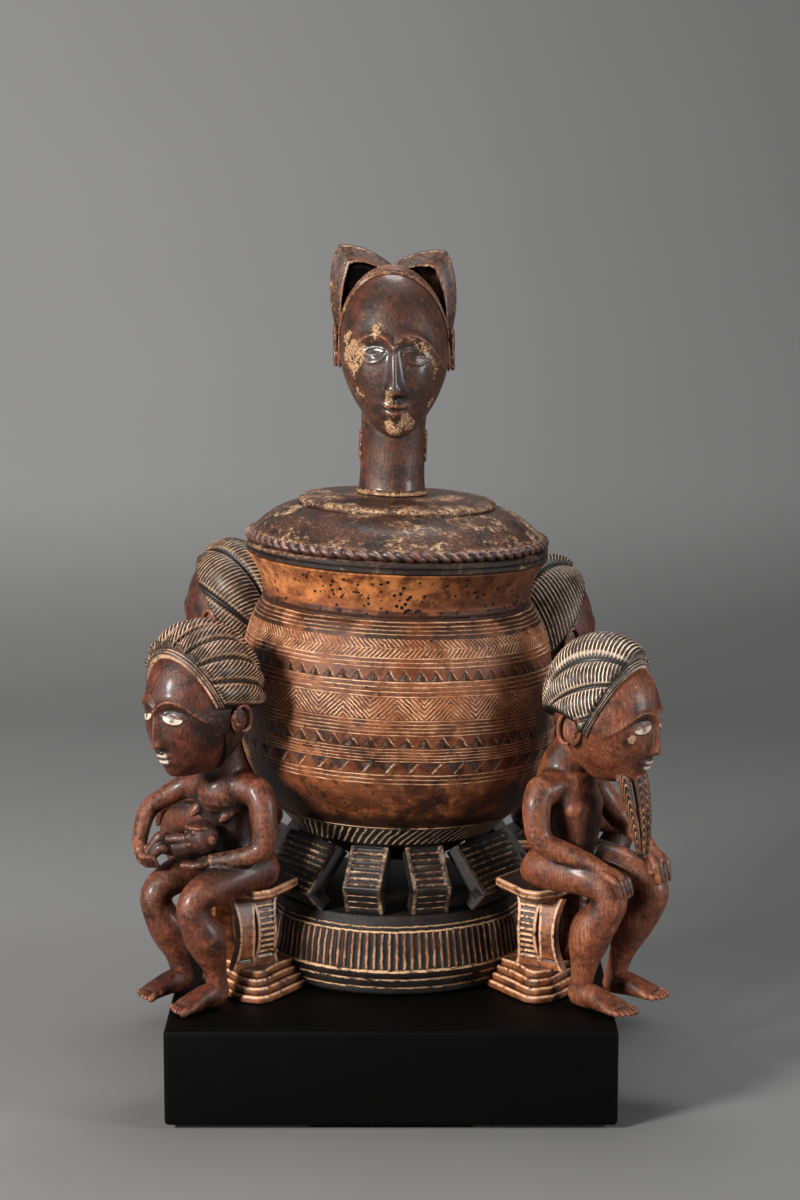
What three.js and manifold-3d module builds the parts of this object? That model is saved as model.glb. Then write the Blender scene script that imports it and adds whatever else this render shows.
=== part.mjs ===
// Ointment cup: a carved wooden bowl with a lid on an open-work pedestal, ringed by four figures
// seated on stools, standing on a painted display plinth.
// Millimetres, +Z up. The origin is on the floor, under the cup's axis, and the cup's front faces -Y.

import * as THREE from 'three';
import { mergeVertices } from 'three/addons/utils/BufferGeometryUtils.js';
import Module from 'manifold-3d';

const wasm = await Module();
wasm.setup();

// Facets round a full turned circle
const ROUND_FACETS = 36;

// Air kept between two pieces that rest on or against each other
const FIT_GAP = 0.3;

// Plinth, its felt pads and the two pins that hold the pedestal on it
const PAD_THICKNESS = 2;
const PAD_LENGTH = 68;
const PAD_DEPTH = 30;
const PAD_INSET = 5;
const PLINTH_WIDTH = 228;
const PLINTH_OFFSET = -3;
const PLINTH_DEPTH = 250;
const PLINTH_HEIGHT = 49.7;
const PLINTH_EDGE = 2.5;
const PIN_RADIUS = 3;
const PIN_LENGTH = 42;
const PIN_SPACING = 60;
const PIN_EMBED = 22;
const PIN_CLEARANCE = 0.3;

// Pedestal foot: stepped rings, a fluted band and a conical shoulder
const FOOT_RADIUS = 67.5;
const FOOT_BULGE_RADIUS = 72;
const FOOT_HEIGHT = 42.2;
const FOOT_RING_HEIGHT = 4.9;
const FOOT_RING_COUNT = 3;
const FLUTE_TOP_RADIUS = 68;
const FLUTE_TOP_HEIGHT = 34.7;
const SHOULDER_EDGE = 2.5;
const SHOULDER_TOP_RADIUS = 64.5;

// Struts of the open cage
const STRUT_HEIGHT = 33.5;
const STRUT_THICKNESS = 8;
const STRUT_FOOT_RADIUS = 63;
const STRUT_TOP_RADIUS = 53;
const NARROW_ELBOW_RADIUS = 70;
const NARROW_ELBOW_HEIGHT = 14.2;
const NARROW_WIDTH = 21;
const NARROW_AZIMUTH = 15.5;
const WIDE_ELBOW_RADIUS = 72;
const WIDE_ELBOW_HEIGHT = 9.4;
const WIDE_WIDTH = 48;
const RAIL_WIDTH = 2.6;
const RUNG_GROOVE = 1.5;
const GROOVE_DEPTH = 1.3;
const UPPER_GROOVES = 6;
const LOWER_GROOVES = 4;

// Collar: the striped dish that holds the bowl
const COLLAR_BASE_RADIUS = 54;
const COLLAR_TOP_RADIUS = 64.5;
const COLLAR_HEIGHT = 13;
const COLLAR_FLOOR = 5.1;
const COLLAR_DISH_RADIUS = 42;
const COLLAR_DISH_DEPTH = 18;
const COLLAR_LIP = 1.6;

// Bowl
const BOWL_HEIGHT = 141.2;
const BOWL_BASE_RADIUS = 50;
const BELLY_RADIUS = 84.7;
const BELLY_HEIGHT = 61;
const NECK_RADIUS = 71;
const NECK_HEIGHT = 121;
const SHOULDER_HEIGHT = 116;
const SHOULDER_RADIUS = 71.8;
const NECK_GROOVE = 1.2;
const RIM_RADIUS = 79.5;
const BOWL_WALL = 6.8;
const BOWL_FLOOR = 13;
const MOUTH_RADIUS = 69;
const MOUTH_DEPTH = 9;

// Lid
const LID_RADIUS = 80;
const LID_BAND_HEIGHT = 6.2;
const ROPE_RADIUS = 2.7;
const LID_SLOPE_RADIUS = 77.7;
const LID_SLOPE_HEIGHT = 17;
const DISC_RADIUS = 52;
const DISC_HEIGHT = 3.6;
const DISC_RISE = 2.2;
const DISC_MIDDLE_RADIUS = 20.5;
const DISC_BEVEL = 1.5;
const SPIGOT_DEPTH = 8;
const SPIGOT_CLEARANCE = 0.7;

// Hand-carved lean: the rings of the collar, bowl and lid fall towards +X
const LEAN = 0.036;
const LEAN_RAMP = 18;

// Head on the lid
const FINIAL_OFFSET = -3;
const FINIAL_NECK_RADIUS = 17.3;
const FINIAL_NECK_HEIGHT = 46;
const FINIAL_HEAD_WIDTH = 28.8;
const FINIAL_HEAD_DEPTH = 31;
const FINIAL_HEAD_HEIGHT = 45;
const FINIAL_HEAD_CENTRE = 73.9;
const FINIAL_HEAD_FORWARD = 4;
const FINIAL_HEAD_TIP = 0.05;
const FINIAL_HEAD_SHIFT = 1.2;
const FINIAL_EAR = { back: 3.1, down: -1.5 };
const CREST_TIP_HEIGHT = 129;
const CREST_NOTCH_HEIGHT = 119;
const CREST_BASE_HEIGHT = 87;
const NAPE_HEIGHT = 54;
const CREST_WIDTH = 33;
const CREST_TIP_WIDTH = 28;
const CREST_FRONT = 2;
const CREST_BACK = 27;
const CREST_WALL = 7;
const CREST_POCKET = 9;

// Stools, in the frame of one seat: out from the axis, sideways, and up from the plinth
const STOOL_HEIGHT = 59;
const SEAT_THICKNESS = 7.5;
const SEAT_END = 110;
const SEAT_WIDTH = 52;
const SEAT_BACK_WIDTH = 24;
const SEAT_BEVEL = 3.5;
const STOOL_BASE_HEIGHT = 15.2;
const STOOL_STEPS = 4;
const STOOL_STEP_INSET = 2.4;
const STOOL_BASE_END = 111;
const STOOL_BASE_WIDTH = 58;
const STOOL_BASE_BACK_WIDTH = 28;
const STOOL_CORNER = 9;
const LEG_THICKNESS = 4.2;
const LEG_WIDTH = 12;
const LEG_SPREAD = 10;
const LEG_BOW = 5;
const LEG_BACK_RADIUS = 90.5;
const LEG_FRONT_RADIUS = 103;
const STOOL_COLUMN_RADIUS = 6;
const STOOL_COLUMN_PLACE = 90;

// Directions of the four seats round the axis, in degrees from the front towards +X
const FRONT_SEAT = 56;
const BACK_SEAT = 124;

const deg = THREE.MathUtils.degToRad;
const lerp = THREE.MathUtils.lerp;
const clamp = THREE.MathUtils.clamp;

// Heights in the stack, worked out from the sizes above
const PLINTH_Z = PAD_THICKNESS + FIT_GAP;
const PLINTH_TOP = PLINTH_Z + PLINTH_HEIGHT;
const STAND_Z = PLINTH_TOP + FIT_GAP;
const STRUT_Z = STAND_Z + FOOT_HEIGHT + FIT_GAP;
const COLLAR_Z = STRUT_Z + STRUT_HEIGHT + FIT_GAP;
const BOWL_Z = COLLAR_Z + COLLAR_FLOOR + FIT_GAP;
const LID_Z = BOWL_Z + BOWL_HEIGHT + FIT_GAP;
const LID_HEIGHT = LID_BAND_HEIGHT + ROPE_RADIUS + LID_SLOPE_HEIGHT + DISC_HEIGHT;
const FINIAL_Z = LID_Z + LID_HEIGHT + DISC_RISE + FIT_GAP;

// Finishes
const finish = (color, roughness, metalness = 0) =>
  new THREE.MeshStandardMaterial({ color, roughness, metalness });
const BLACK_PAINT = finish(0x0e0d0d, 0.55);
const FELT = finish(0x5a4638, 0.95);
const STEEL = finish(0x9a9a98, 0.35, 1);
const BLACKENED_WOOD = finish(0x241a14, 0.5);
const ORANGE_WOOD = finish(0x9c5426, 0.45);
const DARK_WOOD = finish(0x3f2118, 0.4);
const RED_WOOD = finish(0x6d3322, 0.4);
const STOOL_WOOD = finish(0x9a5a2c, 0.5);

// One closed mesh from loose triangles: shared corners merged, collapsed triangles dropped,
// and every face turned outwards.
function closed(geometry) {
  const bare = new THREE.BufferGeometry();
  bare.setAttribute('position', geometry.getAttribute('position').clone());
  bare.setIndex(geometry.getIndex() ? geometry.getIndex().clone() : null);
  const merged = mergeVertices(bare, 1e-4);
  const source = merged.getIndex().array;
  const place = merged.getAttribute('position');
  const corner = [new THREE.Vector3(), new THREE.Vector3(), new THREE.Vector3()];
  const kept = [];
  let volume = 0;
  for (let i = 0; i < source.length; i += 3) {
    const [a, b, c] = [source[i], source[i + 1], source[i + 2]];
    if (a === b || b === c || c === a) continue;
    kept.push(a, b, c);
    [a, b, c].forEach((v, k) => corner[k].fromBufferAttribute(place, v));
    volume += corner[0].dot(corner[1].cross(corner[2]));
  }
  if (volume < 0) kept.reverse();
  merged.setIndex(kept);
  return merged;
}

function toSolid(geometry) {
  const mesh = closed(geometry);
  const vertProperties = new Float32Array(mesh.getAttribute('position').array);
  const triVerts = new Uint32Array(mesh.getIndex().array);
  return new wasm.Manifold(new wasm.Mesh({ numProp: 3, vertProperties, triVerts }));
}

function toGeometry(solid) {
  const mesh = solid.getMesh();
  const geometry = new THREE.BufferGeometry();
  geometry.setAttribute('position', new THREE.BufferAttribute(new Float32Array(mesh.vertProperties), 3));
  geometry.setIndex(Array.from(mesh.triVerts));
  return geometry;
}

const joined = (solids) => solids.reduce((whole, solid) => whole.add(solid));
const lessAll = (solid, cutters) => cutters.reduce((whole, cutter) => whole.subtract(cutter), solid);

// A box between two corners
function boxBetween(low, high) {
  const size = high.map((value, i) => value - low[i]);
  const centre = high.map((value, i) => (value + low[i]) / 2);
  return new THREE.BoxGeometry(...size).translate(...centre);
}

// A profile of [radius, height] points turned round the Z axis
function turned(profile, segments) {
  const points = profile.map(([radius, height]) => new THREE.Vector2(Math.max(radius, 0), height));
  const lathe = new THREE.LatheGeometry([...points, points[0].clone()], segments);
  return closed(lathe.rotateX(Math.PI / 2));
}

// A skin through rings of equal count, closed at both ends by a fan
function skinned(rings) {
  const count = rings[0].length;
  const corners = rings.flat();
  const index = [];
  for (let i = 0; i + 1 < rings.length; i++) {
    for (let j = 0; j < count; j++) {
      const a = i * count + j;
      const b = i * count + ((j + 1) % count);
      index.push(a, b, b + count, a, b + count, a + count);
    }
  }
  [0, rings.length - 1].forEach((row, end) => {
    const hub = corners.length;
    const middle = rings[row].reduce((sum, p) => sum.add(p), new THREE.Vector3());
    corners.push(middle.divideScalar(count));
    for (let j = 0; j < count; j++) {
      const a = row * count + j;
      const b = row * count + ((j + 1) % count);
      index.push(...(end ? [hub, a, b] : [hub, b, a]));
    }
  });
  const geometry = new THREE.BufferGeometry().setFromPoints(corners);
  geometry.setIndex(index);
  return closed(geometry);
}

// A limb: an oval section carried along a smooth curve through the given points. Each point is
// [x, y, z, radius].
function limb(points, { sides = 5, steps = 6 } = {}) {
  const curve = new THREE.CatmullRomCurve3(points.map((p) => new THREE.Vector3(p[0], p[1], p[2])));
  const frames = curve.computeFrenetFrames(steps, false);
  const rings = [];
  for (let i = 0; i <= steps; i++) {
    const along = (i / steps) * (points.length - 1);
    const knot = Math.min(Math.floor(along), points.length - 2);
    const radius = lerp(points[knot][3], points[knot + 1][3], along - knot);
    const centre = curve.getPoint(i / steps);
    const ring = [];
    for (let j = 0; j < sides; j++) {
      const angle = (j / sides) * 2 * Math.PI;
      const across = frames.normals[i].clone().multiplyScalar(radius * Math.cos(angle));
      ring.push(across.addScaledVector(frames.binormals[i], radius * Math.sin(angle)).add(centre));
    }
    rings.push(ring);
  }
  return skinned(rings);
}

// An upright trunk: level ovals [out, side, up, half depth, half width]
function trunk(sections, sides = 9) {
  return skinned(sections.map(([out, side, up, depth, width]) =>
    Array.from({ length: sides }, (_, j) => {
      const angle = (j / sides) * 2 * Math.PI;
      return new THREE.Vector3(out + depth * Math.cos(angle), side + width * Math.sin(angle), up);
    })));
}

// A smooth oval lump
function lump(centre, radii, tilt = 0) {
  return new THREE.SphereGeometry(1, 6, 4).scale(...radii).rotateY(tilt).translate(...centre);
}

// A flat outline [x, y] carried straight up
function slab(outline, bottom, top) {
  const shape = new THREE.Shape(outline.map(([x, y]) => new THREE.Vector2(x, y)));
  const options = { depth: top - bottom, bevelEnabled: false };
  return new THREE.ExtrudeGeometry(shape, options).translate(0, 0, bottom);
}

// The carved lean: each point drops by its x, more the higher it is, up to the full lean
function leaned(geometry, baseHeight) {
  const place = geometry.getAttribute('position');
  for (let i = 0; i < place.count; i++) {
    const rise = clamp((place.getZ(i) + baseHeight - COLLAR_Z) / LEAN_RAMP, 0, 1);
    place.setZ(i, place.getZ(i) - LEAN * rise * place.getX(i));
  }
  return geometry;
}

// PLINTH

function plinthPieces() {
  const half = [PLINTH_WIDTH / 2 - PLINTH_EDGE, PLINTH_DEPTH / 2 - PLINTH_EDGE];
  const shape = new THREE.Shape();
  shape.moveTo(-half[0], -half[1]);
  shape.lineTo(half[0], -half[1]);
  shape.lineTo(half[0], half[1]);
  shape.lineTo(-half[0], half[1]);
  const block = new THREE.ExtrudeGeometry(shape, {
    depth: PLINTH_HEIGHT - 2 * PLINTH_EDGE,
    bevelThickness: PLINTH_EDGE,
    bevelSize: PLINTH_EDGE,
    bevelSegments: 2,
  }).translate(0, 0, PLINTH_EDGE);
  const holes = pinPlaces().map((x) => toSolid(pinShape(PIN_CLEARANCE)
    .translate(x - PLINTH_OFFSET, 0, PLINTH_HEIGHT + FIT_GAP - PIN_EMBED - PIN_CLEARANCE)));
  return toGeometry(lessAll(toSolid(block), holes));
}

const pinPlaces = () => [-PIN_SPACING / 2, PIN_SPACING / 2];

// The pin, or with an allowance the hole that it stands in
function pinShape(allowance) {
  const radius = PIN_RADIUS + allowance;
  const length = PIN_LENGTH + 2 * allowance;
  return new THREE.CylinderGeometry(radius, radius, length, 16).rotateX(Math.PI / 2)
    .translate(0, 0, length / 2);
}

// PEDESTAL

function footSolid() {
  const profile = [[0, 0], [FOOT_RADIUS, 0]];
  const flutesFrom = FOOT_RING_HEIGHT * FOOT_RING_COUNT;
  for (let i = 0; i < FOOT_RING_COUNT; i++) {
    const low = i * FOOT_RING_HEIGHT;
    const radius = lerp(FOOT_RADIUS, FOOT_BULGE_RADIUS, (i + 1) / FOOT_RING_COUNT);
    profile.push([radius, low + 1], [radius, low + FOOT_RING_HEIGHT - 1.2]);
    if (i + 1 < FOOT_RING_COUNT) profile.push([radius - 0.9, low + FOOT_RING_HEIGHT]);
  }
  profile.push([FOOT_BULGE_RADIUS, flutesFrom + 1]);
  profile.push([FLUTE_TOP_RADIUS, FLUTE_TOP_HEIGHT]);
  profile.push([FLUTE_TOP_RADIUS - 1, FLUTE_TOP_HEIGHT + SHOULDER_EDGE]);
  profile.push([SHOULDER_TOP_RADIUS, FOOT_HEIGHT], [0, FOOT_HEIGHT]);
  const body = toSolid(turned(profile, ROUND_FACETS));
  const holes = pinPlaces().map((x) => toSolid(pinShape(PIN_CLEARANCE)
    .translate(x, 0, -PIN_EMBED - PIN_CLEARANCE)));
  return lessAll(body, holes);
}

// The outer line of a strut, [radius, height] from its foot over the elbow to its top
const strutLine = (elbowRadius, elbowHeight) => [
  [STRUT_FOOT_RADIUS, 0],
  [elbowRadius, elbowHeight],
  [STRUT_TOP_RADIUS, STRUT_HEIGHT],
];

// Radius of a strut's outer face at a height above the strut's foot
function strutFace(line, height) {
  const [from, to] = height < line[1][1] ? [line[0], line[1]] : [line[1], line[2]];
  return lerp(from[0], to[0], (height - from[1]) / (to[1] - from[1]));
}

// Grooves between the rungs of one face of a strut, as boxes laid along the face
function rungGrooves(from, to, count, width) {
  const length = Math.hypot(to[0] - from[0], to[1] - from[1]);
  const slope = Math.atan2(to[0] - from[0], to[1] - from[1]);
  const pitch = length / (count + 1);
  return Array.from({ length: count }, (_, i) => {
    const share = ((i + 1) * pitch) / length;
    const groove = new THREE.BoxGeometry(2 * GROOVE_DEPTH, width - 2 * RAIL_WIDTH, RUNG_GROOVE);
    groove.rotateY(slope);
    groove.translate(lerp(from[0], to[0], share), 0, lerp(from[1], to[1], share));
    return toSolid(groove);
  });
}

// A bent strut: the band between its outer line and the same line moved inwards, with its ladder
function strutGeometry(line, width) {
  const outline = [...line, ...[...line].reverse().map(([r, z]) => [r - STRUT_THICKNESS, z])];
  const band = slab(outline, -width / 2, width / 2).rotateX(Math.PI / 2);
  const cuts = [
    ...rungGrooves(line[0], line[1], LOWER_GROOVES, width),
    ...rungGrooves(line[1], line[2], UPPER_GROOVES, width),
  ];
  return toGeometry(lessAll(toSolid(band), cuts));
}

// The collar's inside follows the bowl's underside with the usual gap
function collarGeometry() {
  const lipHeight = COLLAR_HEIGHT - COLLAR_FLOOR - FIT_GAP;
  const inside = [];
  for (let i = 0; i <= 4; i++) {
    const height = (i / 4) * lipHeight;
    inside.push([bowlRadius(height) + 2 * FIT_GAP, COLLAR_FLOOR + FIT_GAP + height]);
  }
  const mouth = inside[inside.length - 1];
  const rim = Math.max(COLLAR_TOP_RADIUS, mouth[0] + COLLAR_LIP);
  // The underside hangs between the struts as a shallow dish
  const dish = [];
  for (let i = 0; i <= 5; i++) {
    const turn = (i / 5) * Math.PI / 2;
    dish.push([COLLAR_DISH_RADIUS * Math.sin(turn), -COLLAR_DISH_DEPTH * Math.cos(turn)]);
  }
  return turned([
    ...dish,
    [COLLAR_BASE_RADIUS, 0],
    [rim, COLLAR_HEIGHT - 1.5],
    [rim, COLLAR_HEIGHT],
    ...inside.reverse(),
    [BOWL_BASE_RADIUS + FIT_GAP, COLLAR_FLOOR],
    [0, COLLAR_FLOOR],
  ], ROUND_FACETS);
}

// BOWL AND LID

// Outer radius of the bowl at a height above its base: two oval sweeps meet at the belly, and a
// hollow curve flares from the neck to the rim
function bowlRadius(height) {
  if (height < BELLY_HEIGHT) {
    const fall = (BELLY_HEIGHT - height) / BELLY_HEIGHT;
    return BOWL_BASE_RADIUS + (BELLY_RADIUS - BOWL_BASE_RADIUS) * (1 - fall ** 2.5) ** 0.61;
  }
  if (height < SHOULDER_HEIGHT) {
    const climb = (height - BELLY_HEIGHT) / (SHOULDER_HEIGHT - BELLY_HEIGHT);
    return SHOULDER_RADIUS + (BELLY_RADIUS - SHOULDER_RADIUS) * (1 - climb ** 2) ** 0.79;
  }
  if (height < NECK_HEIGHT) {
    const spread = (NECK_HEIGHT - height) / (NECK_HEIGHT - SHOULDER_HEIGHT);
    return NECK_RADIUS + (SHOULDER_RADIUS - NECK_RADIUS) * spread ** 1.8;
  }
  const flare = (height - NECK_HEIGHT) / (BOWL_HEIGHT - NECK_HEIGHT);
  return NECK_RADIUS + (RIM_RADIUS - NECK_RADIUS) * flare ** 1.8;
}

function bowlGeometry() {
  const outside = [];
  const steps = 12;
  for (let i = 0; i <= steps; i++) {
    const height = BOWL_HEIGHT * (i / steps);
    if (Math.abs(height - SHOULDER_HEIGHT) > 3) outside.push([bowlRadius(height), height]);
  }
  outside.push([SHOULDER_RADIUS, SHOULDER_HEIGHT - 1.4]);
  outside.push([SHOULDER_RADIUS - NECK_GROOVE, SHOULDER_HEIGHT - 0.6]);
  outside.push([SHOULDER_RADIUS - NECK_GROOVE, SHOULDER_HEIGHT + 0.6]);
  outside.push([bowlRadius(SHOULDER_HEIGHT + 1.4), SHOULDER_HEIGHT + 1.4]);
  outside.sort((a, b) => a[1] - b[1]);
  const mouthFrom = BOWL_HEIGHT - MOUTH_DEPTH;
  const inside = [[MOUTH_RADIUS, BOWL_HEIGHT], [MOUTH_RADIUS, mouthFrom]];
  const inner = 5;
  for (let i = inner; i >= 0; i--) {
    const height = lerp(BOWL_FLOOR, mouthFrom - 3, i / inner);
    const easing = 1 - Math.exp(-(height - BOWL_FLOOR) / 8);
    inside.push([(bowlRadius(height) - BOWL_WALL) * (0.86 + 0.14 * easing), height]);
  }
  return leaned(turned([[0, 0], ...outside, ...inside, [0, BOWL_FLOOR]], ROUND_FACETS), BOWL_Z);
}

function lidGeometry() {
  const ropeHeight = LID_BAND_HEIGHT + ROPE_RADIUS;
  const slopeTop = ropeHeight + LID_SLOPE_HEIGHT;
  const spigotRadius = MOUTH_RADIUS - SPIGOT_CLEARANCE;
  const profile = [
    [0, -SPIGOT_DEPTH],
    [spigotRadius - 1, -SPIGOT_DEPTH],
    [spigotRadius, -SPIGOT_DEPTH + 1],
    [spigotRadius, 0],
    [LID_RADIUS - 0.6, 0],
    [LID_RADIUS, 0.8],
    [LID_RADIUS, LID_BAND_HEIGHT - 0.6],
    [LID_RADIUS - 1.6, LID_BAND_HEIGHT],
  ];
  const slopeSteps = 5;
  for (let i = 0; i <= slopeSteps; i++) {
    const share = i / slopeSteps;
    const bulge = Math.sin(share * Math.PI) * 2.4;
    const height = lerp(ropeHeight + ROPE_RADIUS * 0.6, slopeTop, share ** 0.92) + bulge;
    profile.push([lerp(LID_SLOPE_RADIUS, DISC_RADIUS + 1, share), Math.min(height, slopeTop)]);
  }
  profile.push([DISC_RADIUS, slopeTop], [DISC_RADIUS, LID_HEIGHT - DISC_BEVEL]);
  profile.push([DISC_RADIUS - DISC_BEVEL, LID_HEIGHT]);
  profile.push([lerp(DISC_MIDDLE_RADIUS, DISC_RADIUS, 0.5), LID_HEIGHT + DISC_RISE * 0.75]);
  profile.push([DISC_MIDDLE_RADIUS, LID_HEIGHT + DISC_RISE], [0, LID_HEIGHT + DISC_RISE]);
  const rope = turned(Array.from({ length: 6 }, (_, i) => {
    const angle = (i / 6) * 2 * Math.PI;
    return [LID_RADIUS - 2.2 + ROPE_RADIUS * Math.cos(angle), ropeHeight + ROPE_RADIUS * Math.sin(angle)];
  }), ROUND_FACETS);
  const whole = joined([toSolid(turned(profile, ROUND_FACETS)), toSolid(rope)]);
  return leaned(toGeometry(whole), LID_Z);
}

// HEADS

// Rows and columns of the head's grid, closer together over the face
const HEAD_ROWS = [62, 40, 24, 14, 5, -3, -12, -23, -30, -37, -46, -62];
const HEAD_COLUMNS = [0, 8, 19, 33, 52, 80, 115, 150, 180];
const PLAIN_ROWS = [55, 30, 12, -4, -22, -33, -46, -64];
const PLAIN_COLUMNS = [0, 13, 32, 60, 100, 140, 180];

const HAIR_COLUMNS = 20;

// Where the hairline crosses the middle of the head, as a share of the head's depth, and where
// the hair ends at the nape, as a share of its height
const HAIRLINE_BACK = 0.22;
const NAPE_SHARE = 0.42;

const bell = (value, middle, spread) => Math.exp(-(((value - middle) / spread) ** 2));

// A carved head on plain proportions. Forward is +X. The skull is an oval whose lower half
// narrows to the jaw; brow, eyes, nose, lips and chin are soft swellings of the front.
function headPoint(turn, rise, { width, depth, height }) {
  const direction = new THREE.Vector3(
    Math.cos(rise) * Math.cos(turn),
    Math.cos(rise) * Math.sin(turn),
    Math.sin(rise),
  );
  const low = clamp(-direction.z, 0, 1);
  const across = direction.y;
  const up = direction.z;
  let out = direction.x;
  if (out < 0) out *= 1 - 0.5 * low ** 1.2;
  const facing = THREE.MathUtils.smoothstep(direction.x, 0.1, 0.5);
  const side = Math.abs(across);
  const browLine = 0.24 - 1.1 * (side - 0.34) ** 2;
  const noseLength = clamp((0.14 - up) / 0.52, 0, 1);
  const noseEnd = THREE.MathUtils.smoothstep(up, -0.48, -0.4);
  const swell = 0.045 * bell(up, browLine, 0.06)
    - 0.08 * bell(side, 0.36, 0.2) * bell(up, 0.06, 0.12)
    + 0.06 * bell(side, 0.36, 0.15) * bell(up, 0.0, 0.07)
    + (0.05 + 0.12 * noseLength) * noseLength ** 0.2 * bell(across, 0, 0.09 + 0.08 * noseLength) * noseEnd
    + 0.07 * bell(across, 0, 0.24) * (bell(up, -0.56, 0.04) + bell(up, -0.65, 0.045))
    + 0.08 * bell(across, 0, 0.25) * bell(up, -0.88, 0.12)
    + 0.26 * low ** 2.5;
  return new THREE.Vector3(
    depth * (out + 0.06 * low * (direction.x > 0 ? 1 : 0) + swell * facing),
    width * across * (1 - 0.3 * low ** 1.5),
    height * up,
  );
}

function headGeometry(size, rows = HEAD_ROWS, columns = HEAD_COLUMNS) {
  const turns = [...columns, ...columns.slice(1, -1).reverse().map((a) => -a)];
  const rings = rows.map((rise) =>
    turns.map((turn) => headPoint(deg(turn), deg(rise), size)));
  return skinned(rings);
}

// The mass of hair behind the hairline: an oval round the front-to-back axis, whose thickness
// swells into lobes that run from the forehead over the skull to the nape. The lobes' count and
// height make the style; the front is cut off along the hairline, the bottom at the nape.
function hairSolid({ width, depth, height }, { lobes, swell, base, hairline }) {
  const rings = [150, 132, 114, 96, 78, 60, 42].map((fromBack) => {
    const angle = deg(fromBack);
    return Array.from({ length: HAIR_COLUMNS }, (_, j) => {
      const lean = (j / HAIR_COLUMNS) * 2 * Math.PI - Math.PI / 2;
      const over = clamp(lean / Math.PI, 0, 1);
      const ridge = Math.abs(Math.sin(lobes * Math.PI * over));
      const thick = base + swell * ridge * Math.sin(angle);
      return new THREE.Vector3(
        -(depth + thick) * Math.cos(angle),
        (width + thick) * Math.sin(angle) * Math.cos(lean),
        (height + thick) * Math.sin(angle) * Math.sin(lean),
      );
    });
  });
  const face = boxBetween([0, -2 * width, -3 * height], [3 * depth, 2 * width, 3 * height]);
  face.rotateY(deg(hairline)).translate(-depth * HAIRLINE_BACK, 0, 0);
  const nape = boxBetween(
    [-3 * depth, -2 * width, -3 * height],
    [3 * depth, 2 * width, -NAPE_SHARE * height],
  );
  return lessAll(toSolid(skinned(rings)), [toSolid(face), toSolid(nape)]);
}

// An ear: a flat oval lump on one side of the head
const earLump = ({ width, depth, height }, side, { back, down }) =>
  lump([-back, side * (width - 0.4), -down], [0.2 * depth, 2.8, 0.2 * height]);

// THE HEAD ON THE LID

function crestSolid() {
  const half = [
    [0, CREST_NOTCH_HEIGHT],
    [CREST_TIP_WIDTH * 0.55, lerp(CREST_NOTCH_HEIGHT, CREST_TIP_HEIGHT, 0.75)],
    [CREST_TIP_WIDTH, CREST_TIP_HEIGHT],
    [CREST_WIDTH - 0.5, CREST_TIP_HEIGHT - 10],
    [CREST_WIDTH, lerp(CREST_BASE_HEIGHT, CREST_TIP_HEIGHT, 0.4)],
    [CREST_WIDTH - 2, CREST_BASE_HEIGHT],
    [CREST_WIDTH * 0.7, lerp(CREST_BASE_HEIGHT, NAPE_HEIGHT, 0.6)],
    [CREST_WIDTH * 0.35, NAPE_HEIGHT],
  ];
  const middle = (CREST_NOTCH_HEIGHT + CREST_BASE_HEIGHT) / 2;
  const outline = [...half, ...half.slice(1).reverse().map(([x, z]) => [-x, z])];
  const ring = (back, scale) => outline.map(([x, z]) =>
    new THREE.Vector3(-back, x * scale, middle + (z - middle) * scale));
  const body = toSolid(skinned([
    ring(CREST_FRONT, 1),
    ring(lerp(CREST_FRONT, CREST_BACK, 0.5), 0.97),
    ring(CREST_BACK, 0.8),
    ring(CREST_BACK + 5, 0.45),
  ]));
  const pockets = [-1, 1].map((side) => {
    const pocket = slab([
      [side * 5, CREST_NOTCH_HEIGHT - CREST_WALL],
      [side * (CREST_TIP_WIDTH - CREST_WALL * 0.6), CREST_TIP_HEIGHT - CREST_WALL * 1.7],
      [side * (CREST_WIDTH - CREST_WALL), CREST_BASE_HEIGHT + 12],
      [side * 8, CREST_BASE_HEIGHT + 12],
    ], -CREST_POCKET - CREST_FRONT, 5);
    return toSolid(pocket.rotateX(Math.PI / 2).rotateZ(Math.PI / 2));
  });
  return lessAll(body, pockets);
}

function finialGeometry() {
  const size = { width: FINIAL_HEAD_WIDTH, depth: FINIAL_HEAD_DEPTH, height: FINIAL_HEAD_HEIGHT };
  const atHead = (geometry) => toSolid(geometry.translate(FINIAL_HEAD_FORWARD, 0, FINIAL_HEAD_CENTRE));
  const neck = turned([
    [0, 0],
    [FINIAL_NECK_RADIUS + 1, 0],
    [FINIAL_NECK_RADIUS, 3],
    [FINIAL_NECK_RADIUS - 0.5, FINIAL_NECK_HEIGHT * 0.45],
    [FINIAL_NECK_RADIUS, FINIAL_NECK_HEIGHT],
    [0, FINIAL_NECK_HEIGHT],
  ], 24);
  const band = new THREE.TorusGeometry(1, 0.07, 6, 28).rotateY(deg(62));
  band.scale(size.depth * 0.98, size.width * 1.02, size.height * 0.98).translate(-2, 0, 3);
  const head = joined([
    atHead(headGeometry(size)),
    atHead(earLump(size, 1, FINIAL_EAR)),
    atHead(earLump(size, -1, FINIAL_EAR)),
    atHead(band),
    crestSolid(),
  ]);
  const across = FINIAL_HEAD_TIP * FINIAL_HEAD_CENTRE - FINIAL_HEAD_SHIFT;
  const tipped = head.transform([1, 0, 0, 0, 0, 1, 0, 0, 0, -FINIAL_HEAD_TIP, 1, 0, 0, across, 0, 1]);
  return toGeometry(joined([toSolid(neck), tipped]).rotate([0, 0, -90]));
}

// STOOLS, in the frame of one seat

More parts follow.
